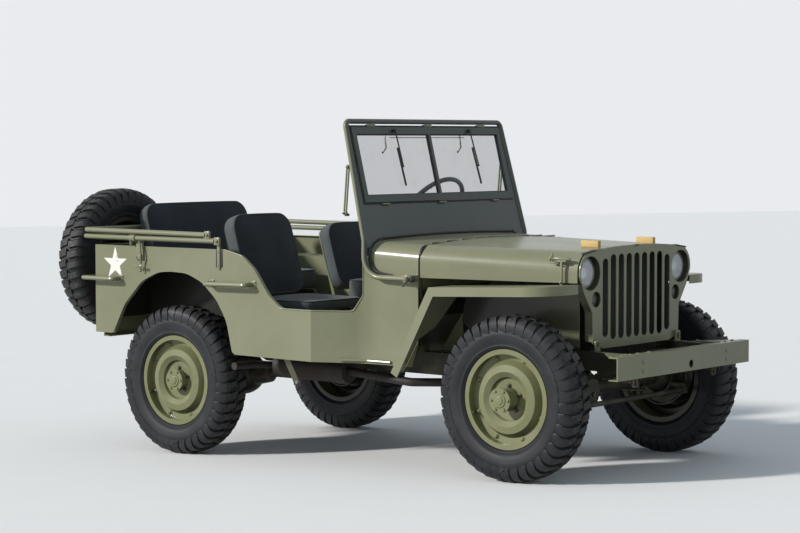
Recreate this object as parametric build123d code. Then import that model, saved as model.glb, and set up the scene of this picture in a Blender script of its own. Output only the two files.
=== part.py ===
from build123d import *
import os
from math import atan2, cos, radians, sin, sqrt, tan

# An open army 4x4 car of the 1940s. Millimetres.
# X is forward, Y is to the car's left, Z is up, and the ground is Z = 0.
# While it is modelled, X = 0 is halfway between the axles. The wheels and axles stand level.
# All that the springs carry is modelled level too, then pitched nose-down by BODY_RAKE.

# Stance and wheels
WHEELBASE = 2032
TRACK = 1245
BODY_RAKE = 1.5
TYRE_RADIUS = 368
TYRE_WIDTH = 166
RIM_RADIUS = 222
RIM_BED_RADIUS = 203
RIM_HALF_WIDTH = 64
STEER_RADIUS_OFFSET = 75
STEER_LOCK = 25
STEER_RATIO = 14
STEER_ARM = 150
RUN_GAP = 0.3
MOVE_GAP = 6

# Ladder frame
FRAME_HALF = 371
RAIL_WIDTH = 44
RAIL_DEPTH = 106
RAIL_WALL = 4
SPRING_WIDTH = 44
BUMPER_FACE = 1503
BUMPER_HALF = 553.5
BUMPER_LOW = 495.5
BUMPER_HIGH = 598.5
BUMPER_DEPTH = 46
BUMPER_WALL = 5

# Tub
SHEET = 3
HEM = 20
TUB_HALF = 725
TUB_REAR = -1550
TUB_RAIL = 1002
TUB_REAR_LOW = 557
SILL = 498
DOOR_SILL = 734
CREASE = -95
COWL_BACK = 150
COWL_BACK_HALF = 604
COWL_FRONT = 436
COWL_FRONT_HALF = 585
HORN_BACK = 133
HORN_FRONT = 156
HORN_BEND = 90
FLOOR = 541
REAR_FLOOR = 636
TUNNEL_BACK = -100
TUNNEL_RISE = 40
TUNNEL_FULL = 90
TUNNEL_RIGHT = -240
TUNNEL_LEFT = 190
TUNNEL_LOW = 628
TUNNEL_TOP = 717
WHEELHOUSE_TOP = 905
WHEELHOUSE_INNER = 480

# Hood, grille and fenders
HOOD_BACK = 442
HOOD_FRONT = 1228
HOOD_LOW = 902
HOOD_OPEN = 118
GRILLE_FACE = 1240
GRILLE_WALL = 4
SLOTS = 9
SLOT_PITCH = 63.8
SLOT_WIDTH = 45
LAMP_Y = 372
LAMP_Z = 942
LAMP_RADIUS = 76
MARKER_Y = 328
MARKER_Z = 824
MARKER_RADIUS = 35
FENDER_HALF = 685
FENDER_CORNER = 150
FENDER_LIP = 40
FENDER_FRONT = 1235

# Windshield
SCREEN_TOP = 1618
SCREEN_TOP_HALF = 604
SCREEN_BASE = (155, 632, 1062)
SCREEN_LEAN = 14.2
SCREEN_TUBE = 12.5
SCREEN_PIVOT = (428, 898)
SCREEN_FOLD = 104
SCREEN_BEND = 96

# Seats
SEAT_IN = 146
SEAT_OUT = 580
SEAT_TIP = 42
SEAT_TUBE = 11
SEAT_TUBES = (190, 455)
SEAT_FOOT = -215
SEAT_PIVOT_Z = 562
REAR_SEAT_FEET = (-1080, -1430)
REAR_FOOT_Y = 430
FOOT_PLATE = 44
FOOT_PLATE_WALL = 3

# Steering wheel
STEER_WHEEL_CENTRE = (-240, 355, 1158)
STEER_WHEEL_RAKE = 36
STEER_WHEEL_RADIUS = 216

# Spare wheel
SPARE_CENTRE = (-1745, -382, 909)

AXLE_X = WHEELBASE / 2
WHEEL_Y = TRACK / 2
PIN_Y = WHEEL_Y - STEER_RADIUS_OFFSET


def box(x0, x1, y0, y1, z0, z1):
    """A block between two corners."""
    return Pos((x0 + x1) / 2, (y0 + y1) / 2, (z0 + z1) / 2) * Box(x1 - x0, y1 - y0, z1 - z0)


def rod(start, end, radius):
    """A round bar from one point to another."""
    a, b = Vector(*start), Vector(*end)
    bar = Cylinder(radius, (b - a).length, align=(Align.CENTER, Align.CENTER, Align.MIN))
    return Plane(origin=a, z_dir=b - a) * bar


def pipe(points, bends, radius, wall=0):
    """A bent tube along straight runs with a radius at each bend."""
    path = FilletPolyline(*points, radius=bends)
    start = Plane(origin=path @ 0, z_dir=path % 0)
    ring = Circle(radius)
    if wall:
        ring -= Circle(radius - wall)
    return sweep(start * ring, path=path)


def face(points, bends=0):
    """A flat face inside a closed outline with a radius at each corner."""
    return make_face(FilletPolyline(*points, radius=bends, close=True))


def side_plate(outline, y0, y1, bends=0):
    """An (x, z) outline given a thickness from y0 to y1."""
    return extrude(face([(x, y0, z) for x, z in outline], bends), y1 - y0, dir=(0, 1, 0))


def plan_plate(outline, z0, z1, bends=0):
    """An (x, y) outline given a thickness from z0 to z1."""
    return extrude(face([(x, y, z0) for x, y in outline], bends), z1 - z0, dir=(0, 0, 1))


def cross_plate(outline, x0, x1, bends=0):
    """A (y, z) outline given a thickness from x0 to x1."""
    return extrude(face([(x0, y, z) for y, z in outline], bends), x1 - x0, dir=(1, 0, 0))


def folded_sheet(points, wall, y0, y1, bends=0):
    """A sheet bent along an (x, z) line, from y0 to y1."""
    line = FilletPolyline(*points, radius=bends)
    strip = Plane.XZ * trace(line, wall)
    return Pos(0, y0, 0) * extrude(strip, y1 - y0, dir=(0, 1, 0))


def upright_sheet(points, wall, z0, z1, bends=0):
    """A sheet that follows an (x, y) line, from z0 to z1."""
    line = FilletPolyline(*points, radius=bends) if len(points) > 2 else Line(*points)
    return Pos(0, 0, z0) * extrude(trace(line, wall), z1 - z0, dir=(0, 0, 1))


def mirrored(shape):
    return mirror(shape, Plane.XZ)


def both_sides(shape):
    """The same solid on the left and the right of the car."""
    return [shape, mirrored(shape)]


def lerp(a, b, t):
    return a + (b - a) * t


def fender_line(x):
    """Height of the fender's top over its length."""
    return lerp(868, 894, (x - 575) / (1225 - 575))


def in_body(x, z):
    """Body coordinates of a point given in the level frame of the axles."""
    pitch = radians(BODY_RAKE)
    return (x * cos(pitch) - z * sin(pitch), x * sin(pitch) + z * cos(pitch))


def side_half(x):
    """Half width of the tub in front of its crease."""
    return lerp(COWL_BACK_HALF, COWL_FRONT_HALF, (x - COWL_BACK) / (COWL_FRONT - COWL_BACK))


def hood_section(x, inset=0, low=HOOD_LOW):
    """The section of the hood and cowl at x: upright sides, round shoulders, low crown."""
    # Columns: x, half width, height at the corner, height at the middle, shoulder radius
    stations = [(165, side_half(165), 1060, 1077, 75), (COWL_FRONT, COWL_FRONT_HALF, 1046, 1069, 75),
                (441, 579, 1046, 1069, 75), (1240, 458, 1032, 1056, 95)]
    first = 0 if x < stations[1][0] else (1 if x < stations[2][0] else 2)
    a, b = stations[first], stations[first + 1]
    t = (x - a[0]) / (b[0] - a[0])
    half, corner, crown, shoulder = [lerp(p, q, t) for p, q in zip(a[1:], b[1:])]
    half, corner, crown = half - inset, corner - inset, crown - inset
    edge = Polyline((-half, corner), (-half, low), (half, low), (half, corner))
    top = ThreePointArc((-half, corner), (0, crown), (half, corner))
    section = make_face([*edge.edges(), top])
    corners = section.vertices().sort_by(Axis.Y)[-2:]
    section = fillet(corners, shoulder - inset)
    return Plane(origin=(x, 0, 0), x_dir=(0, 1, 0), z_dir=(1, 0, 0)) * section


def hood_shell(x0, x1, wall, low=HOOD_LOW):
    """A thin skin with the hood's section from x0 to x1."""
    outer = loft([hood_section(x0, 0, low), hood_section(x1, 0, low)], ruled=True)
    inner = loft([hood_section(x, wall, low - 10) for x in (x0, x1)], ruled=True)
    return outer - inner


# Wheels and tyres. Each is turned about Y at the origin, outboard side towards +Y.
def tyre():
    w, r, bed, flange = TYRE_WIDTH / 2, TYRE_RADIUS, RIM_BED_RADIUS + 2, RIM_HALF_WIDTH
    outline = [
        (bed, flange - 5), (RIM_RADIUS + 3, flange - 5), (RIM_RADIUS + 5, flange + 4), (lerp(bed, r, 0.35), w - 4),
        (lerp(bed, r, 0.57), w), (lerp(bed, r, 0.78), w - 4), (r - 17, w - 8), (r - 4, w - 17), (r, w - 28),
    ]
    outline += [(radius, -y) for radius, y in reversed(outline)]
    return revolve(make_face(Polyline(*outline, close=True)), Axis.Y)


def rim():
    """Rim and dished disc as one pressed wheel."""
    w, r, bed = RIM_HALF_WIDTH, RIM_RADIUS, RIM_BED_RADIUS
    # Columns: radius, distance outboard. The bed runs across, then the disc dishes in to the hub.
    outer = [(r, w + 1), (r, w - 3), (bed + 2, w - 4), (bed + 2, -w + 4), (r, -w + 3), (r, -w - 1)]
    disc_out = [(bed - 3, w - 34), (172, w - 38), (152, w - 8), (122, w - 2), (98, w - 16),
                (92, w - 30), (52, w - 32)]
    disc_in = [(52, w - 38), (74, w - 38), (88, w - 36), (96, w - 22), (118, w - 9), (148, w - 14), (168, w - 44),
               (bed - 3, w - 42)]
    barrel = make_face(Polyline(*outer, (bed - 3, -w - 1), (bed - 3, w + 1), close=True))
    disc = make_face(Polyline(*disc_out, *disc_in, close=True))
    return revolve(barrel, Axis.Y) + revolve(disc, Axis.Y)


def hub(bore, nose):
    """Hub barrel, drive flange and brake drum. The nose is how far the flange stands out."""
    w = RIM_HALF_WIDTH
    face_y = w - 38
    barrel = [(bore, -34), (44, -34), (44, face_y - 8), (72, face_y - 8), (72, face_y), (50, face_y),
              (46, nose - 14), (56, nose - 14), (56, nose - 4), (34, nose - 4), (30, nose), (bore, nose)]
    drum = [(44, -24), (140, -24), (140, -52), (136, -52), (136, -28), (44, -28)]
    solid = revolve(make_face(Polyline(*barrel, close=True)), Axis.Y)
    solid += revolve(make_face(Polyline(*drum, close=True)), Axis.Y)
    plate = [(44, face_y - 14), (76, face_y - 14), (76, face_y - 6.5), (44, face_y - 6.5)]
    return solid + revolve(make_face(Polyline(*plate, close=True)), Axis.Y)


SPINDLE = 26
FRONT_NOSE = 112
REAR_NOSE = 78


def road_wheel(nose):
    """Wheel, hub and drum, with a blind bore for the spindle."""
    solid = rim() + hub(SPINDLE + RUN_GAP, nose)
    cap = Pos(0, nose - 4, 0) * Rot(90, 0, 0) * Cylinder(SPINDLE + 2, 8)
    return solid + cap


nodes = {}
level_nodes = []


def add(name, solids, level=False):
    """Keep a node. A level node stands on the ground; the others are pitched with the body."""
    solids = solids if isinstance(solids, list) else [solids]
    nodes[name] = [part for solid in solids for part in solid.solids()]
    if level:
        level_nodes.append(name)


corners = [("front_right", 1, -1), ("front_left", 1, 1), ("rear_right", -1, -1), ("rear_left", -1, 1)]
for place, end, side in corners:
    turn = 0 if side > 0 else 180
    spot = Pos(end * AXLE_X, side * WHEEL_Y, TYRE_RADIUS) * Rot(0, 0, turn)
    add("tyre_" + place, spot * tyre(), level=True)
    add("wheel_" + place, spot * road_wheel(FRONT_NOSE if end > 0 else REAR_NOSE), level=True)

spare_spot = Pos(*SPARE_CENTRE) * Rot(0, 0, 90)
add("spare_tyre", spare_spot * tyre())
add("spare_wheel", spare_spot * rim())


# Axles. The front one ends in balls that the knuckles swing on.
BALL = 70
AXLE_TUBE = 36
KNUCKLE_WALL = 12
PLATE_Y = 28


def balled_shaft():
    """The front axle's round section: a tube that swells into a half ball at each kingpin."""
    cut = PIN_Y - 2
    neck = PIN_Y - sqrt(BALL ** 2 - AXLE_TUBE ** 2)
    rim_r = sqrt(BALL ** 2 - 4)
    middle = (BALL * cos(radians(35)), PIN_Y - BALL * sin(radians(35)))
    outline = [
        Polyline((rim_r, -cut), (0, -cut), (0, cut), (rim_r, cut)),
        ThreePointArc((rim_r, cut), middle, (AXLE_TUBE, neck)),
        Line((AXLE_TUBE, neck), (AXLE_TUBE, -neck)),
        ThreePointArc((AXLE_TUBE, -neck), (middle[0], -middle[1]), (rim_r, -cut)),
    ]
    return revolve(make_face([edge for line in outline for edge in line.edges()]), Axis.Y)


def axle_beam(x, shaft, facing):
    """Tube, differential housing and cover. facing is +1 where the pinion points forward."""
    centre = (x, -190, TYRE_RADIUS)
    tube = Pos(x, 0, TYRE_RADIUS) * shaft
    housing = Pos(*centre) * Sphere(112)
    housing &= Pos(*centre) * Box(300, 190, 300)
    pinion = Pos(*centre) * Rot(0, 90 * facing, 0) * Cone(80, 44, 190, align=(Align.CENTER, Align.CENTER, Align.MIN))
    cover = Pos(*centre) * Rot(0, -90 * facing, 0) * Pos(0, 0, 95) * Cone(93, 78, 30)
    beam = tube + housing
    beam = beam + pinion
    return beam + cover


front_axle = axle_beam(AXLE_X, balled_shaft(), -1)
for s in (-1, 1):
    front_axle += Pos(AXLE_X, s * PIN_Y, TYRE_RADIUS) * Cylinder(20, 130)
rear_axle = axle_beam(-AXLE_X, Rot(90, 0, 0) * Cylinder(AXLE_TUBE, 2 * (WHEEL_Y - 62)), 1)
for s in (-1, 1):
    end = Pos(-AXLE_X, s * (WHEEL_Y - 62), TYRE_RADIUS) * Rot(-90 * s, 0, 0)
    rear_axle += end * Cylinder(126, 6, align=(Align.CENTER, Align.CENTER, Align.MIN))
    rear_axle += end * Cylinder(SPINDLE, 62 + REAR_NOSE - 16, align=(Align.CENTER, Align.CENTER, Align.MIN))
spring_y = FRAME_HALF - SPRING_WIDTH / 2
for s in (-1, 1):
    pad = box(-45, 45, s * spring_y - 30, s * spring_y + 30, TYRE_RADIUS, TYRE_RADIUS + 51)
    front_axle += Pos(AXLE_X, 0, 0) * pad
    rear_axle += Pos(-AXLE_X, 0, 0) * pad
add("front_axle", front_axle, level=True)
add("rear_axle", rear_axle, level=True)


def knuckle():
    """Steering knuckle: half shell over the ball, flange, backing plate, spindle and arm."""
    inner, outer = BALL + MOVE_GAP, BALL + MOVE_GAP + KNUCKLE_WALL
    shell = Sphere(outer) - Sphere(inner)
    shell &= box(-outer, outer, -10, PLATE_Y, -outer, outer)
    out = Pos(0, PLATE_Y, 0) * Rot(-90, 0, 0)
    base = (Align.CENTER, Align.CENTER, Align.MIN)
    plate = out * Cylinder(128, 6, align=base)
    spindle = out * Cylinder(SPINDLE, WHEEL_Y - PIN_Y - PLATE_Y + FRONT_NOSE - 16, align=base)
    arm = box(70, STEER_ARM + 18, -14, 14, -42, -26) - Sphere(inner + 1)
    pins = rod((0, 0, inner - 2), (0, 0, outer + 12), 24) + rod((0, 0, -outer - 12), (0, 0, 2 - inner), 24)
    return shell + plate + spindle + arm + pins


left_knuckle = Pos(AXLE_X, PIN_Y, TYRE_RADIUS) * knuckle()
add("knuckle_left", left_knuckle, level=True)
add("knuckle_right", mirrored(left_knuckle), level=True)

rod_x, rod_z = AXLE_X + STEER_ARM, TYRE_RADIUS - 58
tie = rod((rod_x, -PIN_Y + 18, rod_z), (rod_x, PIN_Y - 18, rod_z), 12)
for s in (-1, 1):
    tie += rod((rod_x, s * PIN_Y, rod_z - 16), (rod_x, s * PIN_Y, rod_z + 15), 17)
add("tie_rod", tie, level=True)


# Frame rails with a drop between the axles, open inboard, and cross members.
# Columns: x, height of the centre line, depth of the rail
rail_stations = [(-1530, 590, 80), (-1240, 592, 84), (-960, 580, 92), (-700, 487, RAIL_DEPTH - 2),
                 (560, 487, RAIL_DEPTH - 2), (800, 540, 100), (1250, 553, 84),
                 (BUMPER_FACE - BUMPER_WALL, 547, 80)]


def rail_outline(inset):
    """The rail's side outline in (x, z), moved inward by inset."""
    low = [(x, z - depth / 2 + inset) for x, z, depth in rail_stations]
    high = [(x, z + depth / 2 - inset) for x, z, depth in rail_stations]
    return low + high[::-1]


rail = side_plate(rail_outline(0), FRAME_HALF - RAIL_WIDTH, FRAME_HALF)
rail -= side_plate(rail_outline(RAIL_WALL), FRAME_HALF - RAIL_WIDTH - 1, FRAME_HALF - RAIL_WALL)
# Columns: x of the cross member, its length along x, lowest and highest z
members = [(1440, 60, 515, 580), (1180, 90, 512, 560), (35, 150, 438, 466), (-640, 80, 450, 530),
           (-1496, 60, 556, 621)]
frame_solid = rail + mirrored(rail)
inner_y = FRAME_HALF - RAIL_WALL
for x, length, low, high in members:
    beam = box(x - length / 2, x + length / 2, -inner_y, inner_y, low, high)
    beam -= box(x - length / 2 + 4, x + length / 2 - 4, -inner_y - 1, inner_y + 1, low - 1, high - 4)
    frame_solid += beam
# Spring hangers. Columns: x, lowest and highest z
hangers = [(1430, 470, 530), (575, 402, 450), (-560, 402, 450), (-1470, 450, 562)]
for x, low, high in hangers:
    for s in (-1, 1):
        for near, far in ((FRAME_HALF, FRAME_HALF + 6), (FRAME_HALF - RAIL_WIDTH - 6, FRAME_HALF - RAIL_WIDTH)):
            frame_solid += box(x - 22, x + 22, *sorted((s * near, s * far)), low, high)
add("chassis_frame", frame_solid)

bumper = box(BUMPER_FACE - BUMPER_DEPTH, BUMPER_FACE, -BUMPER_HALF, BUMPER_HALF, BUMPER_LOW, BUMPER_HIGH)
bumper -= box(BUMPER_FACE - BUMPER_DEPTH - 1, BUMPER_FACE - BUMPER_WALL, -BUMPER_HALF - 1, BUMPER_HALF + 1,
              BUMPER_LOW + BUMPER_WALL, BUMPER_HIGH - BUMPER_WALL)
CRANK_HOLE = (45, 526, 18)
bumper -= rod((BUMPER_FACE - 20, CRANK_HOLE[0], CRANK_HOLE[1]), (BUMPER_FACE + 10, CRANK_HOLE[0], CRANK_HOLE[1]),
              CRANK_HOLE[2])
add("front_bumper", bumper)

bumperettes = []
for s in (-1, 1):
    y0, y1 = sorted((s * 330, s * 590))
    bar = box(-1640, -1600, y0, y1, 520, 610) - box(-1634, -1599, y0 - 1, y1 + 1, 526, 604)
    bar += box(-1634, TUB_REAR - SHEET, s * 345 - 4, s * 345 + 4, 560, 600)
    bumperettes.append(bar)
hook_back = TUB_REAR - SHEET
hook = box(hook_back - 10, hook_back, -60, 60, 560, 650) + rod((-1604, 0, 600), (hook_back - 5, 0, 600), 20)
hook += Pos(-1632, 0, 600) * Rot(90, 0, 0) * Torus(30, 11)
add("rear_bumperettes", bumperettes + [hook])

# Leaf springs: a stack of flat leaves, each shorter than the one above it.
LEAVES = 6
LEAF = 6.5
SPRING_SEAT = TYRE_RADIUS + 51


def leaf_pack(x_axle, front, back):
    """A pack over one axle. front and back are the (x, z) of the main leaf's ends."""
    seat_x, seat_z = in_body(x_axle, SPRING_SEAT + 1.6)
    pack = None
    for i in range(LEAVES):
        shrink = 1 - 0.15 * i
        z = seat_z + (LEAVES - i - 0.5) * LEAF
        line = [(lerp(seat_x, x, shrink), lerp(z, end_z - LEAF * i * 0.6, shrink)) for x, end_z in (back, front)]
        leaf = folded_sheet([line[0], (seat_x - 50, z), (seat_x + 50, z), line[1]], LEAF, spring_y - SPRING_WIDTH / 2,
                            spring_y + SPRING_WIDTH / 2)
        pack = leaf if pack is None else pack + leaf
    return pack


springs = []
for pack in (leaf_pack(AXLE_X, (1430, 490), (575, 418)), leaf_pack(-AXLE_X, (-560, 418), (-1470, 466))):
    springs += both_sides(pack)
add("leaf_springs", springs)

dampers = []
for end in (1, -1):
    y = FRAME_HALF + 26
    foot_x, foot_z = in_body(end * (AXLE_X - 95), 330)
    head_x = foot_x + end * 45
    damper = rod((foot_x, y, foot_z), (lerp(foot_x, head_x, 0.5), y, 450), 20)
    damper += rod((lerp(foot_x, head_x, 0.48), y, 445), (head_x, y, 560), 26)
    damper += rod((head_x, FRAME_HALF, 540), (head_x, y, 540), 9)
    dampers += both_sides(damper)
add("shock_absorbers", dampers)

# Power train
ENGINE = (500, 1010, 150, 470, 930)
engine = box(ENGINE[0], ENGINE[1], -ENGINE[2] + 30, ENGINE[2] + 30, 600, ENGINE[4])
engine += box(ENGINE[0] + 20, ENGINE[1] - 60, -90, 150, ENGINE[3], 610)
clutch = Pos(472, 30, 600) * Rot(0, 90, 0) * Cone(150, 165, 64)
gearbox = box(100, 442, -70, 130, 500, 690)
transfer = box(-60, 110, -225, 130, 468, 534) + box(-60, 110, -180, 130, 533, 600)
stubs = rod((108, -190, 500), (140, -190, 500), 32) + rod((-90, -190, 500), (-58, -190, 500), 32)
add("engine_and_gearbox", engine + clutch + gearbox + transfer + stubs)

shafts = []
for end in (1, -1):
    near = 147 if end > 0 else -97
    far_x, far_z = in_body(end * (AXLE_X - 197), TYRE_RADIUS + 3)
    shafts.append(rod((near, -190, 497), (far_x, -190, far_z), 26))
add("propeller_shafts", shafts)

exhaust = pipe([(640, -120, 700), (640, -260, 700), (600, -260, 404), (300, -470, 404), (-80, -470, 430)], 50, 20)
exhaust += rod((-75, -470, 430), (-520, -470, 430), 58)
exhaust += pipe([(-515, -470, 430), (-560, -470, 430), (-600, -600, 440), (-600, -712, 440)], 36, 18)
add("exhaust", exhaust)

radiator = box(1118, 1172, -270, 270, 560, 1000) + box(1112, 1178, -250, 250, 985, 1024)
add("radiator", radiator)

# Tub: floor, sides, rear panel, wheelhouses and cowl
side_line = [(TUB_REAR, -TUB_HALF), (CREASE, -TUB_HALF), (COWL_BACK, -COWL_BACK_HALF),
             (COWL_FRONT, -COWL_FRONT_HALF)]


def side_wall(wall, inward, z0, z1):
    """The side's plan line, moved inward and given a thickness."""
    line = [(x, y + inward) for x, y in side_line]
    return upright_sheet(line, wall, z0, z1, [0, 300])


arch = [(-1428, TUB_REAR_LOW), (-1343, 708), (-1219, 829), (-1100, 878), (-1008, 883), (-905, 878),
        (-800, 838), (-703, 755), (-639, 658), (-600, SILL)]
arch_bends = [30, 160, 160, 200, 200, 200, 200, 200, 200, 30]
opening = [(-652, TUB_RAIL), (-535, TUB_RAIL - 26), (-453, 911), (-361, 791), (-285, DOOR_SILL),
           (88, DOOR_SILL), (HORN_BACK, 810), (HORN_BACK, 992), (HORN_FRONT, 992)]
opening_bends = [60, 120, 150, 200, 90, 60, 60, 0, 0]
side_outline = ([(TUB_REAR, TUB_RAIL)] + opening + [(HORN_FRONT, HOOD_LOW - 6), (COWL_FRONT, HOOD_LOW - 6)]
                + [(COWL_FRONT, 590), (400, SILL - 8)] + arch[::-1] + [(TUB_REAR, TUB_REAR_LOW)])
side_bends = [0] + opening_bends + [HORN_BEND, 0, 0, 0] + arch_bends[::-1] + [0]
side_face = face([(x, 0, z) for x, z in side_outline], side_bends)
beyond_side = -TUB_HALF - 75
side_depth = 85 - COWL_FRONT_HALF - beyond_side
side_block = Pos(0, beyond_side, 0) * extrude(side_face, side_depth, dir=(0, 1, 0))
hem_face = side_face - offset(side_face, -SHEET)
hem_block = Pos(0, beyond_side, 0) * extrude(hem_face, side_depth, dir=(0, 1, 0))
skin = side_wall(SHEET, SHEET / 2, 400, 1100) & side_block
hem = side_wall(HEM, HEM / 2, 400, 1100) & hem_block
body_side = skin + hem
add("body_side_right", body_side)
add("body_side_left", mirrored(body_side))

rear_in = TUB_HALF - SHEET - 0.5
rear_panel = box(TUB_REAR - SHEET, TUB_REAR - 0.2, -TUB_HALF, TUB_HALF, TUB_REAR_LOW, TUB_RAIL)
rear_panel += box(TUB_REAR - SHEET, TUB_REAR + 14, -rear_in + HEM, rear_in - HEM, TUB_RAIL - SHEET, TUB_RAIL)
add("rear_panel", rear_panel)

inside = [(x, y + SHEET + 1) for x, y in side_line]
inside += [(x, -y) for x, y in inside[::-1]]
tub_inside = plan_plate(inside, 400, 1100)
floor_line = [(TUB_REAR + SHEET + 1, REAR_FLOOR), (-700, REAR_FLOOR), (-690, FLOOR), (300, FLOOR), (425, 720)]
floor = folded_sheet(floor_line, SHEET, -760, 760) & tub_inside
for s in (-1, 1):
    floor -= box(TUB_REAR, -592, *sorted((s * (WHEELHOUSE_INNER - 1), s * 760)), 500, 700)


def tunnel_block(inset, drop):
    """The gearbox tunnel as a solid, smaller by inset, reaching drop below the floor."""
    x0, x1, y0, y1 = TUNNEL_BACK + inset, COWL_FRONT - 4 + inset, TUNNEL_RIGHT + inset, TUNNEL_LEFT - inset
    base, low, high = FLOOR - drop, TUNNEL_LOW - inset, TUNNEL_TOP - inset
    shift = inset * tan(atan2(TUNNEL_TOP - TUNNEL_LOW, TUNNEL_FULL - TUNNEL_RISE) / 2)
    above = plan_plate([(x0, y0), (x1, y0), (x1, y1), (x0, y1)], base, high, [40 - inset, 0, 0, 40 - inset])
    beside = [(x0, base), (x1, base), (x1, high), (TUNNEL_FULL + shift, high), (TUNNEL_RISE + shift, low), (x0, low)]
    return above & side_plate(beside, y0, y1)


floor -= tunnel_block(1, 20)
tunnel = tunnel_block(0, 1.5) - tunnel_block(SHEET, 30)
floor += tunnel & box(TUNNEL_BACK, COWL_FRONT - SHEET - 2, TUNNEL_RIGHT - 10, TUNNEL_LEFT + 10, 500, TUNNEL_TOP + 13)
for x in REAR_SEAT_FEET:
    for y in (-REAR_FOOT_Y, REAR_FOOT_Y):
        floor += box(x - FOOT_PLATE / 2, x + FOOT_PLATE / 2, y - FOOT_PLATE / 2, y + FOOT_PLATE / 2,
                     REAR_FLOOR, REAR_FLOOR + SHEET / 2 + FOOT_PLATE_WALL)
for s in (-1, 1):
    for y in SEAT_TUBES:
        for cheek in (-1, 1):
            lug_y = s * y + cheek * (SEAT_TUBE + 6)
            floor += box(SEAT_FOOT - 15, SEAT_FOOT + 15, lug_y - 2.5, lug_y + 2.5, FLOOR, FLOOR + 34)
COLUMN_SLOPE = radians(STEER_WHEEL_RAKE)
column_top = Vector(*STEER_WHEEL_CENTRE)
column_foot = column_top + Vector(cos(COLUMN_SLOPE), 0, -sin(COLUMN_SLOPE)) * 900
floor -= rod(tuple(column_top), tuple(column_foot), 30)
add("floor_pan", floor)

HOUSE_REAR = TUB_REAR + SHEET + 1
house_curve = [(-905, WHEELHOUSE_TOP), (-808, 856), (-697, 762), (-628, 662), (-600, REAR_FLOOR + 2)]
house_outline = [(HOUSE_REAR, REAR_FLOOR + 2), (HOUSE_REAR, WHEELHOUSE_TOP)] + house_curve
house_bends = [0, 0, 120, 120, 120, 60, 0]
house_out = TUB_HALF - SHEET - 1
house = side_plate(house_outline, -house_out, -WHEELHOUSE_INNER, house_bends)
hollow = [(x - SHEET, z - SHEET) for x, z in house_curve]
hollow[-1] = (hollow[-1][0], REAR_FLOOR - 10)
hollow_outline = [(TUB_REAR - 10, REAR_FLOOR - 10), (TUB_REAR - 10, WHEELHOUSE_TOP - SHEET)] + hollow
house -= side_plate(hollow_outline, -house_out - 5, -WHEELHOUSE_INNER - SHEET, house_bends)
LID = (TUB_REAR + 12, -1416, WHEELHOUSE_INNER + 16, WHEELHOUSE_INNER + 206)
house -= box(LID[0] + 8, LID[1] - 8, -LID[3] + 8, -LID[2] - 8, WHEELHOUSE_TOP - 10, WHEELHOUSE_TOP + 10)
house += box(-1412, -1412 + SHEET, -house_out, -WHEELHOUSE_INNER - 1, REAR_FLOOR + 2, WHEELHOUSE_TOP - 1)
add("wheelhouses", both_sides(house))

lid = box(LID[0], LID[1], -LID[3], -LID[2], WHEELHOUSE_TOP + 0.5, WHEELHOUSE_TOP + 3.5)
lid = fillet(lid.edges().filter_by(Axis.Z), 12)
add("toolbox_lid_right", lid)
add("toolbox_lid_left", mirrored(lid))

# Cowl: the round-shouldered skin between windshield and hood, the firewall and the dash
cowl = hood_shell(HORN_FRONT + 9, COWL_FRONT, SHEET, HOOD_LOW - 12)
COWL_LOW = HOOD_LOW - 2
cowl_side = [(HORN_FRONT + 6, 1200), (HORN_FRONT + 6, COWL_LOW), (COWL_FRONT + 5, COWL_LOW), (COWL_FRONT + 5, 1200)]
cowl &= side_plate(cowl_side, -700, 700, [0, HORN_BEND - 6, 0, 0])
wall_half = COWL_FRONT_HALF - HEM - 9
wall_x = COWL_FRONT - SHEET
firewall = box(wall_x, COWL_FRONT, -wall_half, wall_half, 722, COWL_LOW + 2)
firewall += loft([hood_section(x, 1, COWL_LOW) for x in (wall_x, COWL_FRONT)], ruled=True)
dash = loft([hood_section(x, SHEET - 1, HOOD_LOW - 20) for x in (186, 189)], ruled=True)
dash -= box(180, 200, -700, 700, 840, 905)
for s in (-1, 1):
    dash -= box(180, 200, *sorted((s * 574, s * 700)), 840, 960)
DOOR = (-520, -300, 925, 1012)
dash -= box(180, 200, DOOR[0], DOOR[1], DOOR[2], DOOR[3])
cowl = cowl + firewall + dash
add("cowl", cowl)

glove = box(178, 182, DOOR[0] - 6, DOOR[1] + 6, DOOR[2] - 6, DOOR[3] + 6)
add("glovebox_door", glove)

# Hood
hood = hood_shell(HOOD_BACK, HOOD_FRONT, SHEET)
add("hood_panel", hood)
BLOCK = (1188, 240, 66, 140, 36)
blocks = []
for s in (-1, 1):
    low = 1048
    block = box(BLOCK[0] - BLOCK[2] / 2, BLOCK[0] + BLOCK[2] / 2, s * BLOCK[1] - BLOCK[3] / 2,
                s * BLOCK[1] + BLOCK[3] / 2, low, 1056 + BLOCK[4])
    block -= loft([hood_section(x, -0.2) for x in (HOOD_BACK, HOOD_FRONT)], ruled=True)
    blocks.append(block)
add("hood_blocks", blocks)

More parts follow.
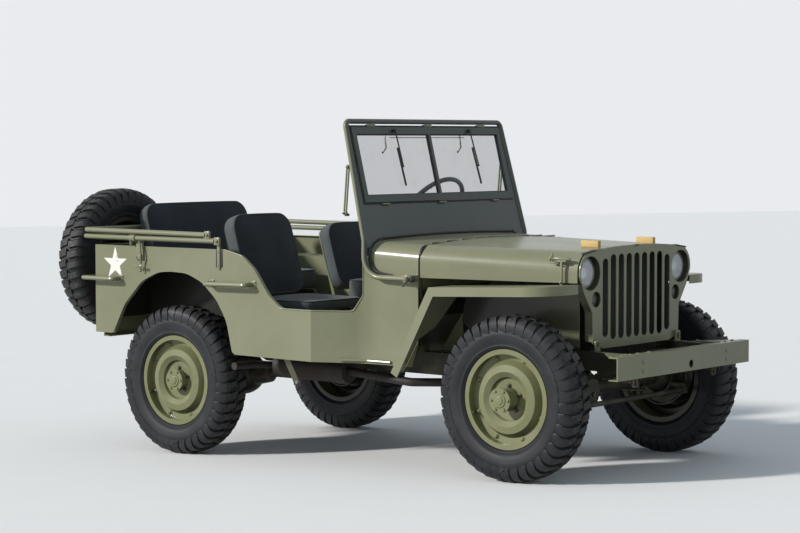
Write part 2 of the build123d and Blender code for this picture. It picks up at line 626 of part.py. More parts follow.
# Grille: one pressing with round openings and upright slots
grille_outline = [(-270, 603), (-354, 628), (-358, 765), (-422, 854), (-458, 930), (-458, 1031)]
low_edge = Polyline(*[(y, z) for y, z in grille_outline[::-1]], *[(-y, z) for y, z in grille_outline])
crown = ThreePointArc(grille_outline[-1], (0, 1056), (458, 1031))
grille_face = make_face([*low_edge.edges(), crown])
top_corners = grille_face.vertices().sort_by(Axis.Y)[-2:]
grille_face = fillet(top_corners, 95)
grille_plane = Plane(origin=(GRILLE_FACE - GRILLE_WALL, 0, 0), x_dir=(0, 1, 0), z_dir=(1, 0, 0))
flange_face = offset(grille_face, -10) - offset(grille_face, -13)
plate = grille_plane * grille_face
grille = extrude(plate, GRILLE_WALL)
grille += extrude(grille_plane * flange_face, -44)
for s in (-1, 1):
    grille -= rod((1190, s * LAMP_Y, LAMP_Z), (1260, s * LAMP_Y, LAMP_Z), LAMP_RADIUS)
    grille -= rod((1190, s * MARKER_Y, MARKER_Z), (1260, s * MARKER_Y, MARKER_Z), MARKER_RADIUS)
for i in range(SLOTS):
    outer = i in (0, SLOTS - 1)
    low, high = (653, 1003) if outer else (639, 1020)
    y = (i - (SLOTS - 1) / 2) * SLOT_PITCH
    slot = Pos(y, (low + high) / 2) * RectangleRounded(SLOT_WIDTH, high - low, SLOT_WIDTH / 2 - 1)
    grille -= extrude(grille_plane * slot, 30, both=True)
add("radiator_grille", grille)

# Front fenders
fender_profile = [(356, 469), (575, fender_line(575)), (FENDER_FRONT, fender_line(FENDER_FRONT))]
fender_plan = [(330, -FENDER_HALF), (FENDER_FRONT, -FENDER_HALF), (FENDER_FRONT, -452), (1126, -452), (1126, -375),
               (560, -424), (470, -500), (COWL_FRONT + 5, -COWL_FRONT_HALF - 3), (330, -side_half(330) - 3)]
fender_plan_bends = [0, FENDER_CORNER, 0, 0, 0, 0, 0, 0, 0]
fender_plan_block = plan_plate(fender_plan, 400, 1000, fender_plan_bends)
top = folded_sheet(fender_profile, SHEET, -700, -300) & fender_plan_block
under = side_plate(fender_profile + [(FENDER_FRONT, 300), (356, 300)], -700, -300)
band = folded_sheet(fender_profile, 2 * FENDER_LIP, -700, -300) & under
lip_line = [(340, -FENDER_HALF + SHEET / 2), (FENDER_FRONT - SHEET / 2, -FENDER_HALF + SHEET / 2),
            (FENDER_FRONT - SHEET / 2, -462)]
lip = upright_sheet(lip_line, SHEET, 400, 1000, [FENDER_CORNER - SHEET / 2]) & band
apron_line = [(560, -430), (1190, -379)]
apron = upright_sheet(apron_line, SHEET, 400, 1000)
apron &= side_plate([(600, fender_line(600)), (1122, fender_line(1122)), (1124, 860), (1186, 860), (1186, 612),
                     (1000, 612), (640, 640), (570, 700)], -700, -300)
fender = top + lip + apron
add("front_fender_right", fender)
add("front_fender_left", mirrored(fender))

# Lamps: headlights, markers and tail lamps
lamps = []
for s in (-1, 1):
    bowl = [(0, 0), (LAMP_RADIUS - 3, -6), (LAMP_RADIUS - 3, 10), (LAMP_RADIUS - 8, 40), (45, 84), (0, 96)]
    shell = revolve(make_face(Polyline(*bowl, close=True)), Axis.Y)
    lamps.append(Pos(1228, s * LAMP_Y, LAMP_Z) * Rot(0, 0, 90) * shell)
    small = [(0, 0), (24, 4), (30, 8), (30, 40), (0, 52)]
    lamps.append(Pos(1232, s * MARKER_Y, MARKER_Z) * Rot(0, 0, 90)
                 * revolve(make_face(Polyline(*small, close=True)), Axis.Y))
    tail = [(0, 0), (40, 0), (40, 34), (20, 44), (0, 46)]
    lamps.append(Pos(TUB_REAR - SHEET, s * 560, 700) * Rot(0, 0, 90)
                 * revolve(make_face(Polyline(*tail, close=True)), Axis.Y))
add("lamps", lamps)

# Windshield: outer tube frame with a sheet panel, glass frame, panes and wipers
lean = radians(SCREEN_LEAN)
screen_plane = Plane(origin=(SCREEN_BASE[0], 0, SCREEN_BASE[2]), x_dir=(0, 1, 0), z_dir=(cos(lean), 0, sin(lean)))


def screen_point(y, z, out=0):
    """A point of the windshield's plane at side position y and height z, moved out along its normal."""
    x = SCREEN_BASE[0] - (z - SCREEN_BASE[2]) * tan(lean)
    return (x + out * cos(lean), y, z + out * sin(lean))


def up_screen(z):
    """Distance up the slope for a height z."""
    return (z - SCREEN_BASE[2]) / cos(lean)


base_x, base_y, base_z = SCREEN_BASE
arm_points = [(SCREEN_PIVOT[0], -base_y, SCREEN_PIVOT[1]), (base_x - 2, -base_y, SCREEN_PIVOT[1]),
              screen_point(-base_y, base_z + 4), screen_point(-SCREEN_TOP_HALF, SCREEN_TOP),
              screen_point(SCREEN_TOP_HALF, SCREEN_TOP), screen_point(base_y, base_z + 4),
              (base_x - 2, base_y, SCREEN_PIVOT[1]), (SCREEN_PIVOT[0], base_y, SCREEN_PIVOT[1])]
tube = pipe(arm_points, [SCREEN_BEND, 60, 28, 28, 60, SCREEN_BEND], SCREEN_TUBE)
pivot_x, pivot_z = SCREEN_PIVOT
for s in (-1, 1):
    tube += rod((pivot_x, s * (base_y + 16), pivot_z), (pivot_x, s * (base_y - 16), pivot_z), 17)
    tube -= rod((pivot_x, s * (base_y + 17), pivot_z), (pivot_x, s * (base_y - 17), pivot_z), 8 + RUN_GAP)
GLASS_LOW, GLASS_HIGH, GLASS_HALF = 1270, 1557, 550
FRAME_LOW, FRAME_HIGH, FRAME_OUT = 1238, 1590, 577
panel_half = lerp(base_y, SCREEN_TOP_HALF, 0.3) - 6
panel = Polyline((-base_y + 6, -30), (base_y - 6, -30), (panel_half, up_screen(FRAME_LOW) - 5),
                 (-panel_half, up_screen(FRAME_LOW) - 5), close=True)
panel = extrude(screen_plane * make_face(panel), SHEET / 2, both=True)
panel -= loft([hood_section(x, -MOVE_GAP - 3, 800) for x in (165, 300)], ruled=True)
side_strip = Polyline((-base_y + 6, up_screen(FRAME_LOW) - 10), (-SCREEN_TOP_HALF + 2, up_screen(SCREEN_TOP)),
                      (-FRAME_OUT - 3, up_screen(SCREEN_TOP)), (-FRAME_OUT - 3, up_screen(FRAME_LOW) - 10), close=True)
side_strip = extrude(screen_plane * make_face(side_strip), SHEET / 2, both=True)
add("windshield_frame", tube + panel + side_strip + mirrored(side_strip))

mid_s = (up_screen(FRAME_LOW) + up_screen(FRAME_HIGH)) / 2
frame_tall = up_screen(FRAME_HIGH) - up_screen(FRAME_LOW)
glass_tall = up_screen(GLASS_HIGH) - up_screen(GLASS_LOW)
glass_mid = (up_screen(GLASS_LOW) + up_screen(GLASS_HIGH)) / 2
sash = Pos(0, mid_s) * Rectangle(2 * FRAME_OUT, frame_tall)
for s in (-1, 1):
    sash -= Pos(s * (GLASS_HALF + 8) / 2, glass_mid) * Rectangle(GLASS_HALF - 8, glass_tall)
sash_solid = extrude(screen_plane * sash, 9, both=True)
pane_cut = Pos(0, glass_mid) * Rectangle(2 * GLASS_HALF + 16, glass_tall + 16)
sash_solid -= extrude(screen_plane * pane_cut, 3, both=True)
add("windshield_sash", sash_solid)
panes = []
for s in (-1, 1):
    pane = Pos(s * (GLASS_HALF + 6) / 2, glass_mid) * Rectangle(GLASS_HALF + 2, glass_tall + 12)
    panes.append(extrude(screen_plane * pane, 2.8, both=True))
add("windshield_glass", panes)

wipers = []
# Columns: pivot y of each wiper at the top of the glass, y of the blade's tip below
for pivot_y, tip_y in ((-276, -265), (310, 330)):
    top_point = screen_point(pivot_y, GLASS_HIGH + 14, 9.2)
    out_point = screen_point(pivot_y, GLASS_HIGH + 14, 24)
    low_point = screen_point(tip_y, GLASS_LOW + 40, 16)
    wiper = rod(top_point, out_point, 8) + rod(out_point, screen_point(tip_y, 1400, 22), 3.5)
    blade = rod(screen_point(lerp(pivot_y, tip_y, 0.35), 1490, 14), low_point, 5)
    wipers.append(wiper + blade + rod(screen_point(tip_y, 1400, 24), screen_point(tip_y, 1400, 12), 5))
add("wipers", wipers)

# The pivots of the windshield on the cowl's sides
tub_outside = plan_plate([(x, y - 0.1) for x, y in side_line] + [(x, 0.1 - y) for x, y in side_line[::-1]], 700, 1200)
pivots = []
for s in (-1, 1):
    pin = rod((SCREEN_PIVOT[0], s * 560, SCREEN_PIVOT[1]), (SCREEN_PIVOT[0], s * (base_y + 26), SCREEN_PIVOT[1]), 8)
    block = box(SCREEN_PIVOT[0] - 38, SCREEN_PIVOT[0] + 6, *sorted((s * 560, s * (base_y - 22))), 884, 914)
    pivots.append(pin + block - tub_outside)
add("windshield_pivots", pivots)

# Seats
def lean_line(foot_x, low, angle, depth, z):
    """The x, at height z, of a line SEAT_TUBE + 2 behind a leaning backrest pad."""
    a = radians(angle)
    behind = depth + SEAT_TUBE + 2
    return foot_x - behind * cos(a) - (z - (low - behind * sin(a))) * tan(a)


def seat_frame(foot_x, low, angle, depth, top, foot_z):
    """Bent tube frame under and behind a front seat. foot_z is where its legs end."""
    r, rail_z = SEAT_TUBE, 706 - SEAT_TUBE - 1
    bend_x = lean_line(foot_x, low, angle, depth, rail_z)
    top_x = lean_line(foot_x, low, angle, depth, top)
    near, far = SEAT_TUBES
    points = [(SEAT_FOOT, -near, foot_z), (SEAT_FOOT, -near, rail_z), (bend_x, -near, rail_z), (top_x, -near, top),
              (top_x, -far, top), (bend_x, -far, rail_z), (SEAT_FOOT, -far, rail_z), (SEAT_FOOT, -far, foot_z)]
    solid = pipe(points, [50, 60, 60, 60, 60, 50], r)
    for y in (-near, -far):
        solid += rod((-620, y, rail_z), (-628, y, FLOOR + 1.5), r - 1)
        solid += rod((SEAT_FOOT, y - r - 2, SEAT_PIVOT_Z), (SEAT_FOOT, y + r + 2, SEAT_PIVOT_Z), 6)
    solid += rod((SEAT_FOOT - 30, -near, rail_z), (SEAT_FOOT - 30, -far, rail_z), r - 1)
    return solid - box(-700, -100, -800, 0, 400, FLOOR + 2.2)


def pad(x0, x1, y0, y1, z0, z1, radius):
    block = box(x0, x1, y0, y1, z0, z1)
    return fillet(block.edges(), radius)


def back_pad(y0, y1, low, high, foot_x, angle, depth):
    """A leaning backrest pad. foot_x is its front face at the low edge."""
    tall = (high - low) / cos(radians(angle))
    block = fillet(Box(depth, y1 - y0, tall).edges(), 32)
    lift = Pos(-depth / 2, (y0 + y1) / 2, tall / 2) * block
    return Pos(foot_x, 0, low) * Rot(0, -angle, 0) * lift


# Columns: x of the backrest's front at its foot, its lowest z, lean in degrees, depth, highest z
PASSENGER_BACK = (-636, 826, 21, 88, 1164)
DRIVER_BACK = (-664, 812, 17, 82, 1112)
REAR_BACK = (-1385, 900, 12, 90, 1196)
foot_x, low, angle, depth, high = PASSENGER_BACK
add("passenger_seat_frame", seat_frame(foot_x, low, angle, depth, high - 60, SEAT_PIVOT_Z - 8))
add("passenger_seat_pads", [pad(-640, -228, -SEAT_OUT, -SEAT_IN, 706, 795, 34),
                            back_pad(-SEAT_OUT, -SEAT_IN, low, high, foot_x, angle, depth)])
foot_x, low, angle, depth, high = DRIVER_BACK
driver_frame = mirrored(seat_frame(foot_x, low, angle, depth, high - 60, FLOOR + 1))
add("driver_seat_pads", [pad(-640, -228, SEAT_IN, SEAT_OUT, 706, 800, 34),
                         back_pad(SEAT_IN, SEAT_OUT, low, high, foot_x, angle, depth)])
foot_x, low, angle, depth, high = REAR_BACK
rail_z = 724
bend_x = lean_line(foot_x, low, angle, depth, rail_z)
top_x = lean_line(foot_x, low, angle, depth, high - 60)
rear_foot = REAR_FLOOR + SHEET / 2 + FOOT_PLATE_WALL
front_x, back_x = REAR_SEAT_FEET
rear_points = [(front_x, rear_foot), (front_x, rail_z), (bend_x, rail_z), (top_x, high - 60)]
rear_points = ([(x, -REAR_FOOT_Y, z) for x, z in rear_points] + [(x, REAR_FOOT_Y, z) for x, z in rear_points[::-1]])
rear_frame = pipe(rear_points, 40, SEAT_TUBE)
for s in (-1, 1):
    rear_frame += rod((back_x, s * REAR_FOOT_Y, rail_z), (back_x, s * REAR_FOOT_Y, rear_foot), SEAT_TUBE - 1)
add("seat_frames", [driver_frame, rear_frame])
add("rear_seat_pads", [pad(-1440, -1040, -450, 450, 738, 850, 36),
                       back_pad(-455, 455, low, high, foot_x, angle, depth)])

tank = pad(-592, -250, SEAT_IN + 30, SEAT_OUT - 14, FLOOR + 2, 676, 30)
add("fuel_tank", tank)

# Steering gear
rake = radians(STEER_WHEEL_RAKE)
column_dir = (cos(rake), 0, -sin(rake))
sx, sy, sz = STEER_WHEEL_CENTRE


def along_column(distance):
    return (sx + column_dir[0] * distance, sy, sz + column_dir[2] * distance)


column = rod(along_column(60), along_column(870), 22)
column += Pos(*along_column(890)) * Rot(0, STEER_WHEEL_RAKE, 0) * Box(130, 76, 90)
column += box(440, 510, 335, 365, 539, 600)
add("steering_column", column)
wheel_plane = Plane(origin=STEER_WHEEL_CENTRE, x_dir=(0, 1, 0), z_dir=tuple(-c for c in column_dir))
steer_rim = wheel_plane * Torus(STEER_WHEEL_RADIUS, 12)
steer_hub = rod(along_column(52), along_column(-8), 34)
for angle in (90, 210, 330):
    a = radians(angle)
    reach = STEER_WHEEL_RADIUS - 4
    spoke_end = wheel_plane.from_local_coords((reach * cos(a), reach * sin(a), 0))
    steer_rim += rod(along_column(20), tuple(spoke_end), 7)
add("steering_wheel", steer_rim + steer_hub)

# Grab handles, folded top bows and spare wheel carrier
handles = []
grip = pipe([(-748, -TUB_HALF, 840), (-748, -TUB_HALF - 52, 840), (-451, -TUB_HALF - 52, 840),
             (-451, -TUB_HALF, 840)], 34, 10)
corner_grip = pipe([(-1375, -TUB_HALF, 835), (-1375, -TUB_HALF - 50, 835), (-1600, -TUB_HALF - 50, 835),
                    (-1600, -TUB_HALF + 85, 835), (TUB_REAR - SHEET, -TUB_HALF + 85, 835)], [34, 60, 34], 11)
handles += both_sides(grip) + both_sides(corner_grip)
add("grab_handles", handles)

bow_y = TUB_HALF + 22
bow_r = 13
upper = pipe([(-730, -bow_y, 1071), (-1612, -bow_y, 1077), (-1612, bow_y, 1077), (-730, bow_y, 1071)], 90, bow_r)
lower = pipe([(-675, -bow_y, 1043), (-1618, -bow_y, 1044), (-1618, bow_y, 1044), (-675, bow_y, 1043)], 90, bow_r)
bows = upper + lower
for s in (-1, 1):
    y0, y1 = sorted((s * TUB_HALF, s * (bow_y + 16)))
    tab0, tab1 = sorted((s * TUB_HALF, s * (TUB_HALF + 8)))
    bows += box(-1236, -1204, y0, y1, 1012, 1092) + box(-1236, -1204, tab0, tab1, 885, 1020)
    bows += box(-705, -665, y0, y1, 1026, 1062) + box(-700, -670, tab0, tab1, 905, 1030)
add("top_bows", bows)

carrier = box(TUB_REAR - SHEET - 12, TUB_REAR - SHEET, SPARE_CENTRE[1] - 60, SPARE_CENTRE[1] + 60, 780, 1000)
carrier += rod((TUB_REAR - SHEET - 10, *SPARE_CENTRE[1:]), (SPARE_CENTRE[0] - 50, *SPARE_CENTRE[1:]), 29)
disc_x = SPARE_CENTRE[0] - RIM_HALF_WIDTH + 38
carrier += rod((disc_x, *SPARE_CENTRE[1:]), (disc_x + 10, *SPARE_CENTRE[1:]), 72)
add("spare_carrier", carrier)

# Pitch what the springs carry, then set the origin under the middle of the whole car.
placed = {}
for name, solids in nodes.items():
    tilt = Rot(0, 0 if name in level_nodes else BODY_RAKE, 0)
    placed[name] = [tilt * solid for solid in solids]
extent = Compound([solid for solids in placed.values() for solid in solids]).bounding_box()
shift = Pos(-(extent.min.X + extent.max.X) / 2, 0, 0)
print("shift in X:", shift.position.X)

os.makedirs("parts", exist_ok=True)
for name, solids in placed.items():
    moved = [shift * solid for solid in solids]
    shape = moved[0] if len(moved) == 1 else Compound(moved)
    export_step(shape, "parts/" + name + ".step")
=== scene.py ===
# %% [markdown]
# # Dressing an army 4x4 car
# The car's construction is already drawn to size: sheet metal, tubes, axles and hinges are all there.
# This lesson gives it its looks. Rubber, canvas, glass, nuts and worn paint go on around that frame,
# and each new piece rides on the body that carries it, so that the hood, wheels and seat still move.

# %% The frame
from math import cos, hypot, pi, radians, sin, tan

import bmesh
import bpy
from mathutils import Matrix, Vector


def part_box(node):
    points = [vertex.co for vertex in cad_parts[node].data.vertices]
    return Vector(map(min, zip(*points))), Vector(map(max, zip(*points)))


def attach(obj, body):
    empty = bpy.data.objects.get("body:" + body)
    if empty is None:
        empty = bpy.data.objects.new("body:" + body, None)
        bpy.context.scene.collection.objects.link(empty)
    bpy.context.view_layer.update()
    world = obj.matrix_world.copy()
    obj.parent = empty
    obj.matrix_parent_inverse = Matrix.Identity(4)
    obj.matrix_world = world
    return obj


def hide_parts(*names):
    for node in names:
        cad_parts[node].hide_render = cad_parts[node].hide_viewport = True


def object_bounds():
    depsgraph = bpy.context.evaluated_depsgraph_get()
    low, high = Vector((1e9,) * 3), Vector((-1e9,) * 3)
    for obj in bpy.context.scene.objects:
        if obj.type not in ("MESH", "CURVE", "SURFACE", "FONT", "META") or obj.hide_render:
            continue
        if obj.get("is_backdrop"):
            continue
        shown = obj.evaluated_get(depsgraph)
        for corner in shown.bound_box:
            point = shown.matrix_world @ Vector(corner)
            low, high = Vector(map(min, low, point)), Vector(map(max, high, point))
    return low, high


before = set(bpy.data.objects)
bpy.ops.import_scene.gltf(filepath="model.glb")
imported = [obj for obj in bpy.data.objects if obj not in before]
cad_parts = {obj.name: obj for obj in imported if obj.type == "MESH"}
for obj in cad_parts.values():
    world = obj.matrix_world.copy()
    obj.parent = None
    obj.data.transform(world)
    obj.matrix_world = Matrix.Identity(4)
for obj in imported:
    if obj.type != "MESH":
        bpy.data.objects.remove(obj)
drawn_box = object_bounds()

# %% [markdown]
# A workshop drawing of a car counts from the middle between the axles and is in millimetres. The wheels
# stand level, but the springs let the body sit a little nose-down. Two matrices hold this, so that every
# piece below can be written in the drawing's own numbers and still land in the right place in metres.

# %% Places on the car
PITCH = radians(1.5)


def middle_of(node):
    low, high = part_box(node)
    return (low + high) / 2


axle_middle = (middle_of("tyre_front_right").x + middle_of("tyre_rear_right").x) / 2
ON_GROUND = Matrix.Translation((axle_middle, 0, 0)) @ Matrix.Scale(0.001, 4)
ON_BODY = Matrix.Translation((axle_middle, 0, 0)) @ Matrix.Rotation(PITCH, 4, "Y") @ Matrix.Scale(0.001, 4)
print("middle between the axles, m:", round(axle_middle, 4))

# %% [markdown]
# The camera stands far off with a long lens, low and at the car's right front corner. It leans by about a
# degree, as a hand-held one does. Its three axes are worked out from the bearing, the height and the lean.

# %% Camera
BEARING, HEIGHT_ANGLE, LEAN = radians(39.16), radians(2.36), radians(-1.21)
EYE_X, EYE_Y, EYE_Z = 6.6893, -8.3638, 1.3545
LENS = 98.34
towards_eye = Vector((sin(BEARING) * cos(HEIGHT_ANGLE), -cos(BEARING) * cos(HEIGHT_ANGLE), sin(HEIGHT_ANGLE)))
level_right = Vector((cos(BEARING), sin(BEARING), 0))
eye_right = level_right * cos(LEAN) + towards_eye.cross(level_right) * sin(LEAN)
eye_up = towards_eye.cross(eye_right)
camera = bpy.data.objects.new("camera", bpy.data.cameras.new("camera"))
camera.data.lens = LENS
camera.data.sensor_width = 36
eye_turn = Matrix((eye_right, eye_up, towards_eye)).transposed().to_4x4()
camera.matrix_world = Matrix.Translation((EYE_X + axle_middle, EYE_Y, EYE_Z)) @ eye_turn
camera.data.clip_end = 200
bpy.context.scene.collection.objects.link(camera)
bpy.context.scene.camera = camera
bpy.context.scene.view_settings.view_transform = "Standard"
print("camera at", [round(x, 3) for x in camera.location])

# %% [markdown]
# A finish is a small sum: some noise, some height, some dust. Blender keeps such sums as nodes, which are
# slow to write one by one. So one class stands for a number on a socket, and plus, minus and times on it
# add the Math nodes. A second class holds a node tree, and its one method makes any other node.


# %% Numbers on sockets
class Value:
    """A number, colour or vector on a socket, so that sums on it read as Python."""

    def __init__(self, tree, socket):
        self.tree, self.socket = tree, socket

    def math(self, operation, first, second):
        return self.tree.node("ShaderNodeMath", {"operation": operation}, {0: first, 1: second})

    def __add__(self, other):
        return self.math("ADD", self, other)

    __radd__ = __add__

    def __sub__(self, other):
        return self.math("SUBTRACT", self, other)

    def __rsub__(self, other):
        return self.math("SUBTRACT", other, self)

    def __mul__(self, other):
        return self.math("MULTIPLY", self, other)

    __rmul__ = __mul__

    def sine(self):
        return self.math("SINE", self, 0.0)

    def larger(self, other):
        return self.math("MAXIMUM", self, other)


print("sums on sockets ready")

# %% [markdown]
# The node tree comes next. Besides making nodes it can mix two colours, ease a number between two ends, tell
# where on the car a point is and which way its surface looks, and add noise and bumps.

# %% Node trees
# Outputs of Blender's Light Path node
CAMERA_RAY, GLOSSY_RAY, TRANSMISSION_RAY = 0, 3, 6


class Tree:
    """The nodes of one finish or of the studio's air."""

    def __init__(self, owner):
        owner.use_nodes = True
        self.nodes, self.links = owner.node_tree.nodes, owner.node_tree.links
        self.nodes.clear()

    def feed(self, socket, value):
        if isinstance(value, Value):
            self.links.new(value.socket, socket)
        elif hasattr(socket.default_value, "__len__") and len(socket.default_value) == 4 and len(value) == 3:
            socket.default_value = (*value, 1)
        else:
            socket.default_value = value

    def node(self, kind, settings=None, inputs=None, output=0):
        """Makes a node: its settings first, then the values or links of its sockets."""
        made = self.nodes.new(kind)
        for name, value in (settings or {}).items():
            setattr(made, name, value)
        for name, value in (inputs or {}).items():
            self.feed(made.inputs[name], value)
        return Value(self, made.outputs[output])

    def mix(self, share, first, second):
        """A colour between two, by share."""
        return self.node("ShaderNodeMix", {"data_type": "RGBA"}, {0: share, 6: first, 7: second}, 2)

    def ease(self, value, start, end):
        """A smooth step from 0 to 1 as value goes from start to end."""
        return self.node("ShaderNodeMapRange", {"interpolation_type": "SMOOTHSTEP"},
                         {0: value, 1: start, 2: end})

    def place(self):
        """Where on the car a point is, in metres."""
        return self.node("ShaderNodeTexCoord", output=3)

    def stretched(self, scale):
        """The place with each axis scaled by its own number."""
        return self.node("ShaderNodeMapping", {}, {"Vector": self.place(), "Scale": scale})

    def noise(self, scale, detail=3.0, where=None):
        return self.node("ShaderNodeTexNoise", {},
                         {"Vector": where or self.place(), "Scale": scale, "Detail": detail})

    def parts(self, vector):
        """The x, y and z of a vector."""
        made = self.nodes.new("ShaderNodeSeparateXYZ")
        self.links.new(vector.socket, made.inputs[0])
        return [Value(self, socket) for socket in made.outputs]

    def facing(self):
        """The x, y and z of the way that a surface looks."""
        return self.parts(self.node("ShaderNodeTexCoord", output=1))

    def bump(self, height, strength, distance):
        return self.node("ShaderNodeBump", {}, {"Strength": strength, "Distance": distance, "Height": height})

    def studio_rays(self):
        """1 for rays of the lens, of gloss and of glass, which see the studio itself."""
        seen = self.node("ShaderNodeLightPath", output=CAMERA_RAY)
        for ray in (GLOSSY_RAY, TRANSMISSION_RAY):
            seen = seen.larger(self.node("ShaderNodeLightPath", output=ray))
        return seen


print("node trees ready")

# %% [markdown]
# A finish is a node tree with one shader. A number that is the same all over the surface sits on the
# shader's own socket, and only what changes over it comes through other nodes.


# %% Finishes
class Finish(Tree):
    """A material with one shader. Its fixed values sit on the shader's own sockets."""

    def __init__(self, name, **fixed):
        self.material = bpy.data.materials.new(name)
        super().__init__(self.material)
        self.shader = self.nodes.new("ShaderNodeBsdfPrincipled")
        out = self.nodes.new("ShaderNodeOutputMaterial")
        self.links.new(self.shader.outputs[0], out.inputs[0])
        self.wear(**fixed)

    def wear(self, **inputs):
        """Feeds the shader's sockets. An underscore in a name stands for a space."""
        for name, value in inputs.items():
            self.feed(self.shader.inputs[name.replace("_", " ")], value)


print("finishes ready")

# %% [markdown]
# The car stands in a plain pale studio. A soft lamp from behind its right side lights the long side and
# leaves the grille in its own shade, as low sun does. The air around gives the rest of the light. What
# the lens and the gloss see of that air is white, and what falls on the car is a plain, even level.

# %% Studio
studio = bpy.data.worlds.new("studio")
bpy.context.scene.world = studio
air = Tree(studio)
fill = air.node("ShaderNodeBackground", {}, {"Color": (0.78, 0.90, 1.0), "Strength": 0.40})
white = air.node("ShaderNodeBackground", {}, {"Color": (0.93, 0.95, 0.98), "Strength": 0.88})
mixed = air.node("ShaderNodeMixShader", {}, {0: air.studio_rays(), 1: fill, 2: white})
world_out = air.nodes.new("ShaderNodeOutputWorld")
air.links.new(mixed.socket, world_out.inputs[0])
print("air ready")

# %% [markdown]
# One lamp stands in for a low sun. Its disc is wide, so that its shadows have soft edges.

# %% Key lamp
key = bpy.data.objects.new("key_lamp", bpy.data.lights.new("key_lamp", "SUN"))
key.data.energy = 3.6  # watts per square metre
key.data.angle = radians(5)
key.data.color = (1.0, 0.97, 0.93)
key.rotation_euler = Vector((-34, -50, 29)).to_track_quat("Z", "Y").to_euler()
bpy.context.scene.collection.objects.link(key)
print("key lamp ready")

# %% [markdown]
# The floor is one wide disc. The lens and the gloss see it nearly white, but the light that it throws back
# on the car is that of a duller, warmer ground.

# %% Floor
floor_finish = Finish("studio_floor", Roughness=0.85)
pale = floor_finish.mix(floor_finish.noise(3.0), (0.86, 0.87, 0.87), (0.90, 0.90, 0.90))
floor_finish.wear(Base_Color=floor_finish.mix(floor_finish.studio_rays(), (0.60, 0.58, 0.53), pale))
shape = bmesh.new()
bmesh.ops.create_circle(shape, cap_ends=True, segments=96, radius=60)
floor_mesh = bpy.data.meshes.new("studio_floor")
shape.to_mesh(floor_mesh)
shape.free()
floor_mesh.materials.append(floor_finish.material)
studio_floor = bpy.data.objects.new("studio_floor", floor_mesh)
bpy.context.scene.collection.objects.link(studio_floor)
studio_floor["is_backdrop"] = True
print("studio ready")

# %% [markdown]
# ## Paint
# Army green paint is a flat olive that handling and washing have made half glossy. Faces that look down are
# painted near black as shade, and so are places deep in shade: the wheelhouses, the insides of the
# fenders, the front of the cowl and the backs of the wheels. A face's own direction and its place on the car
# tell which it is, so that one recipe can do them all and nothing is painted by hand.

# %% Painted shade in the wheelhouses, fenders, cowl and wheel backs
# Near black, the colour of painted shade on faces that look down and deep in the wheel wells and cowl
SHADE_BLACK = (0.010, 0.010, 0.009)
DUST = (0.30, 0.27, 0.20)
REAR_WHEEL_X = middle_of("tyre_rear_right").x


def deep_shade_share(paint, where):
    """How dark the painted shade on a face there is, from 0 to 1."""
    x, y, z = paint.parts(paint.place())
    face_x, face_y = paint.facing()[:2]
    if where == "wheelhouses":
        ends = paint.ease(face_x * (REAR_WHEEL_X - x), 0.05, 0.15)
        return paint.ease(face_y * y, 0.05, 0.2).larger(ends) * 0.95
    if where == "fenders":
        inside = paint.ease(face_y * y, 0.05, 0.2) * paint.ease(y * y, 0.45, 0.40)
        return inside * paint.ease(z, 0.84, 0.80) * (paint.ease(x, 1.30, 1.0) * 0.55 + 0.4)
    if where == "cowl":
        ahead = paint.ease(face_x, 0.2, 0.5) * paint.ease(x, 0.45, 0.50) * paint.ease(x, 0.75, 0.70)
        return ahead * paint.ease(z, 0.86, 0.82) * 0.95
    inward = {"right wheels": 1, "left wheels": -1}[where]
    return paint.ease(face_y * inward, 0.2, 0.6) * 0.9


print("rear wheels at x, m:", round(REAR_WHEEL_X, 4))

# %% [markdown]
# The tone drifts over a panel, dust settles low down and in the corners, and fine orange peel breaks up the
# reflections. One recipe with different numbers serves the body, the underside and the wheels. The
# windshield's front lies in shade, so a paint can carry a second, darker tone of painted shade for faces
# that look ahead.


# %% Green paints
def green_paint(name, tone, faded, gloss, dirt, deep_shade=None, forward_shade=None):
    """The sixth argument names where painted shade goes deep, and the seventh is a painted shade tone for
    faces ahead.
    """
    paint = Finish(name, Metallic=0.0, Coat_Weight=gloss, Coat_Roughness=0.2, Specular_IOR_Level=0.22)
    face_x, face_y, face_z = paint.facing()
    drift = paint.ease(paint.noise(2.3, 4.0), 0.3, 0.7)
    mottle = paint.ease(paint.noise(19.0, 5.0), 0.35, 0.75)
    colour = paint.mix(drift * 0.75, tone, faded)
    colour = paint.mix(mottle * 0.16, colour, [c * 0.8 for c in tone])
    low_down = paint.ease(paint.parts(paint.place())[2], 0.75, 0.25)
    dust = (low_down * 0.6 + 0.12) * paint.ease(paint.noise(7.0, 6.0), 0.42, 0.72) * dirt
    colour = paint.mix(dust, colour, DUST)
    speck = paint.ease(paint.noise(95.0, 2.0), 0.72, 0.78) * 0.35
    colour = paint.mix(speck, colour, [c * 0.55 for c in tone])
    # Faces that look ahead can take a darker tone as painted shade
    if forward_shade:
        colour = paint.mix(paint.ease(face_x, 0.35, 0.8), colour, forward_shade)
    # Faces that look down, and the places that the sixth argument names, are darkened near black as painted
    # shade
    below = paint.ease(face_z, -0.25, -0.85) * 0.75
    if deep_shade:
        below = below.larger(deep_shade_share(paint, deep_shade))
    colour = paint.mix(below, colour, SHADE_BLACK)
    peel = paint.noise(420.0, 1.0) * 0.35 + paint.noise(5.0, 2.0)
    paint.wear(Base_Color=colour, Roughness=0.40 + 0.16 * drift + 0.25 * dust,
               Normal=paint.bump(peel, 0.10, 0.003))
    return paint.material


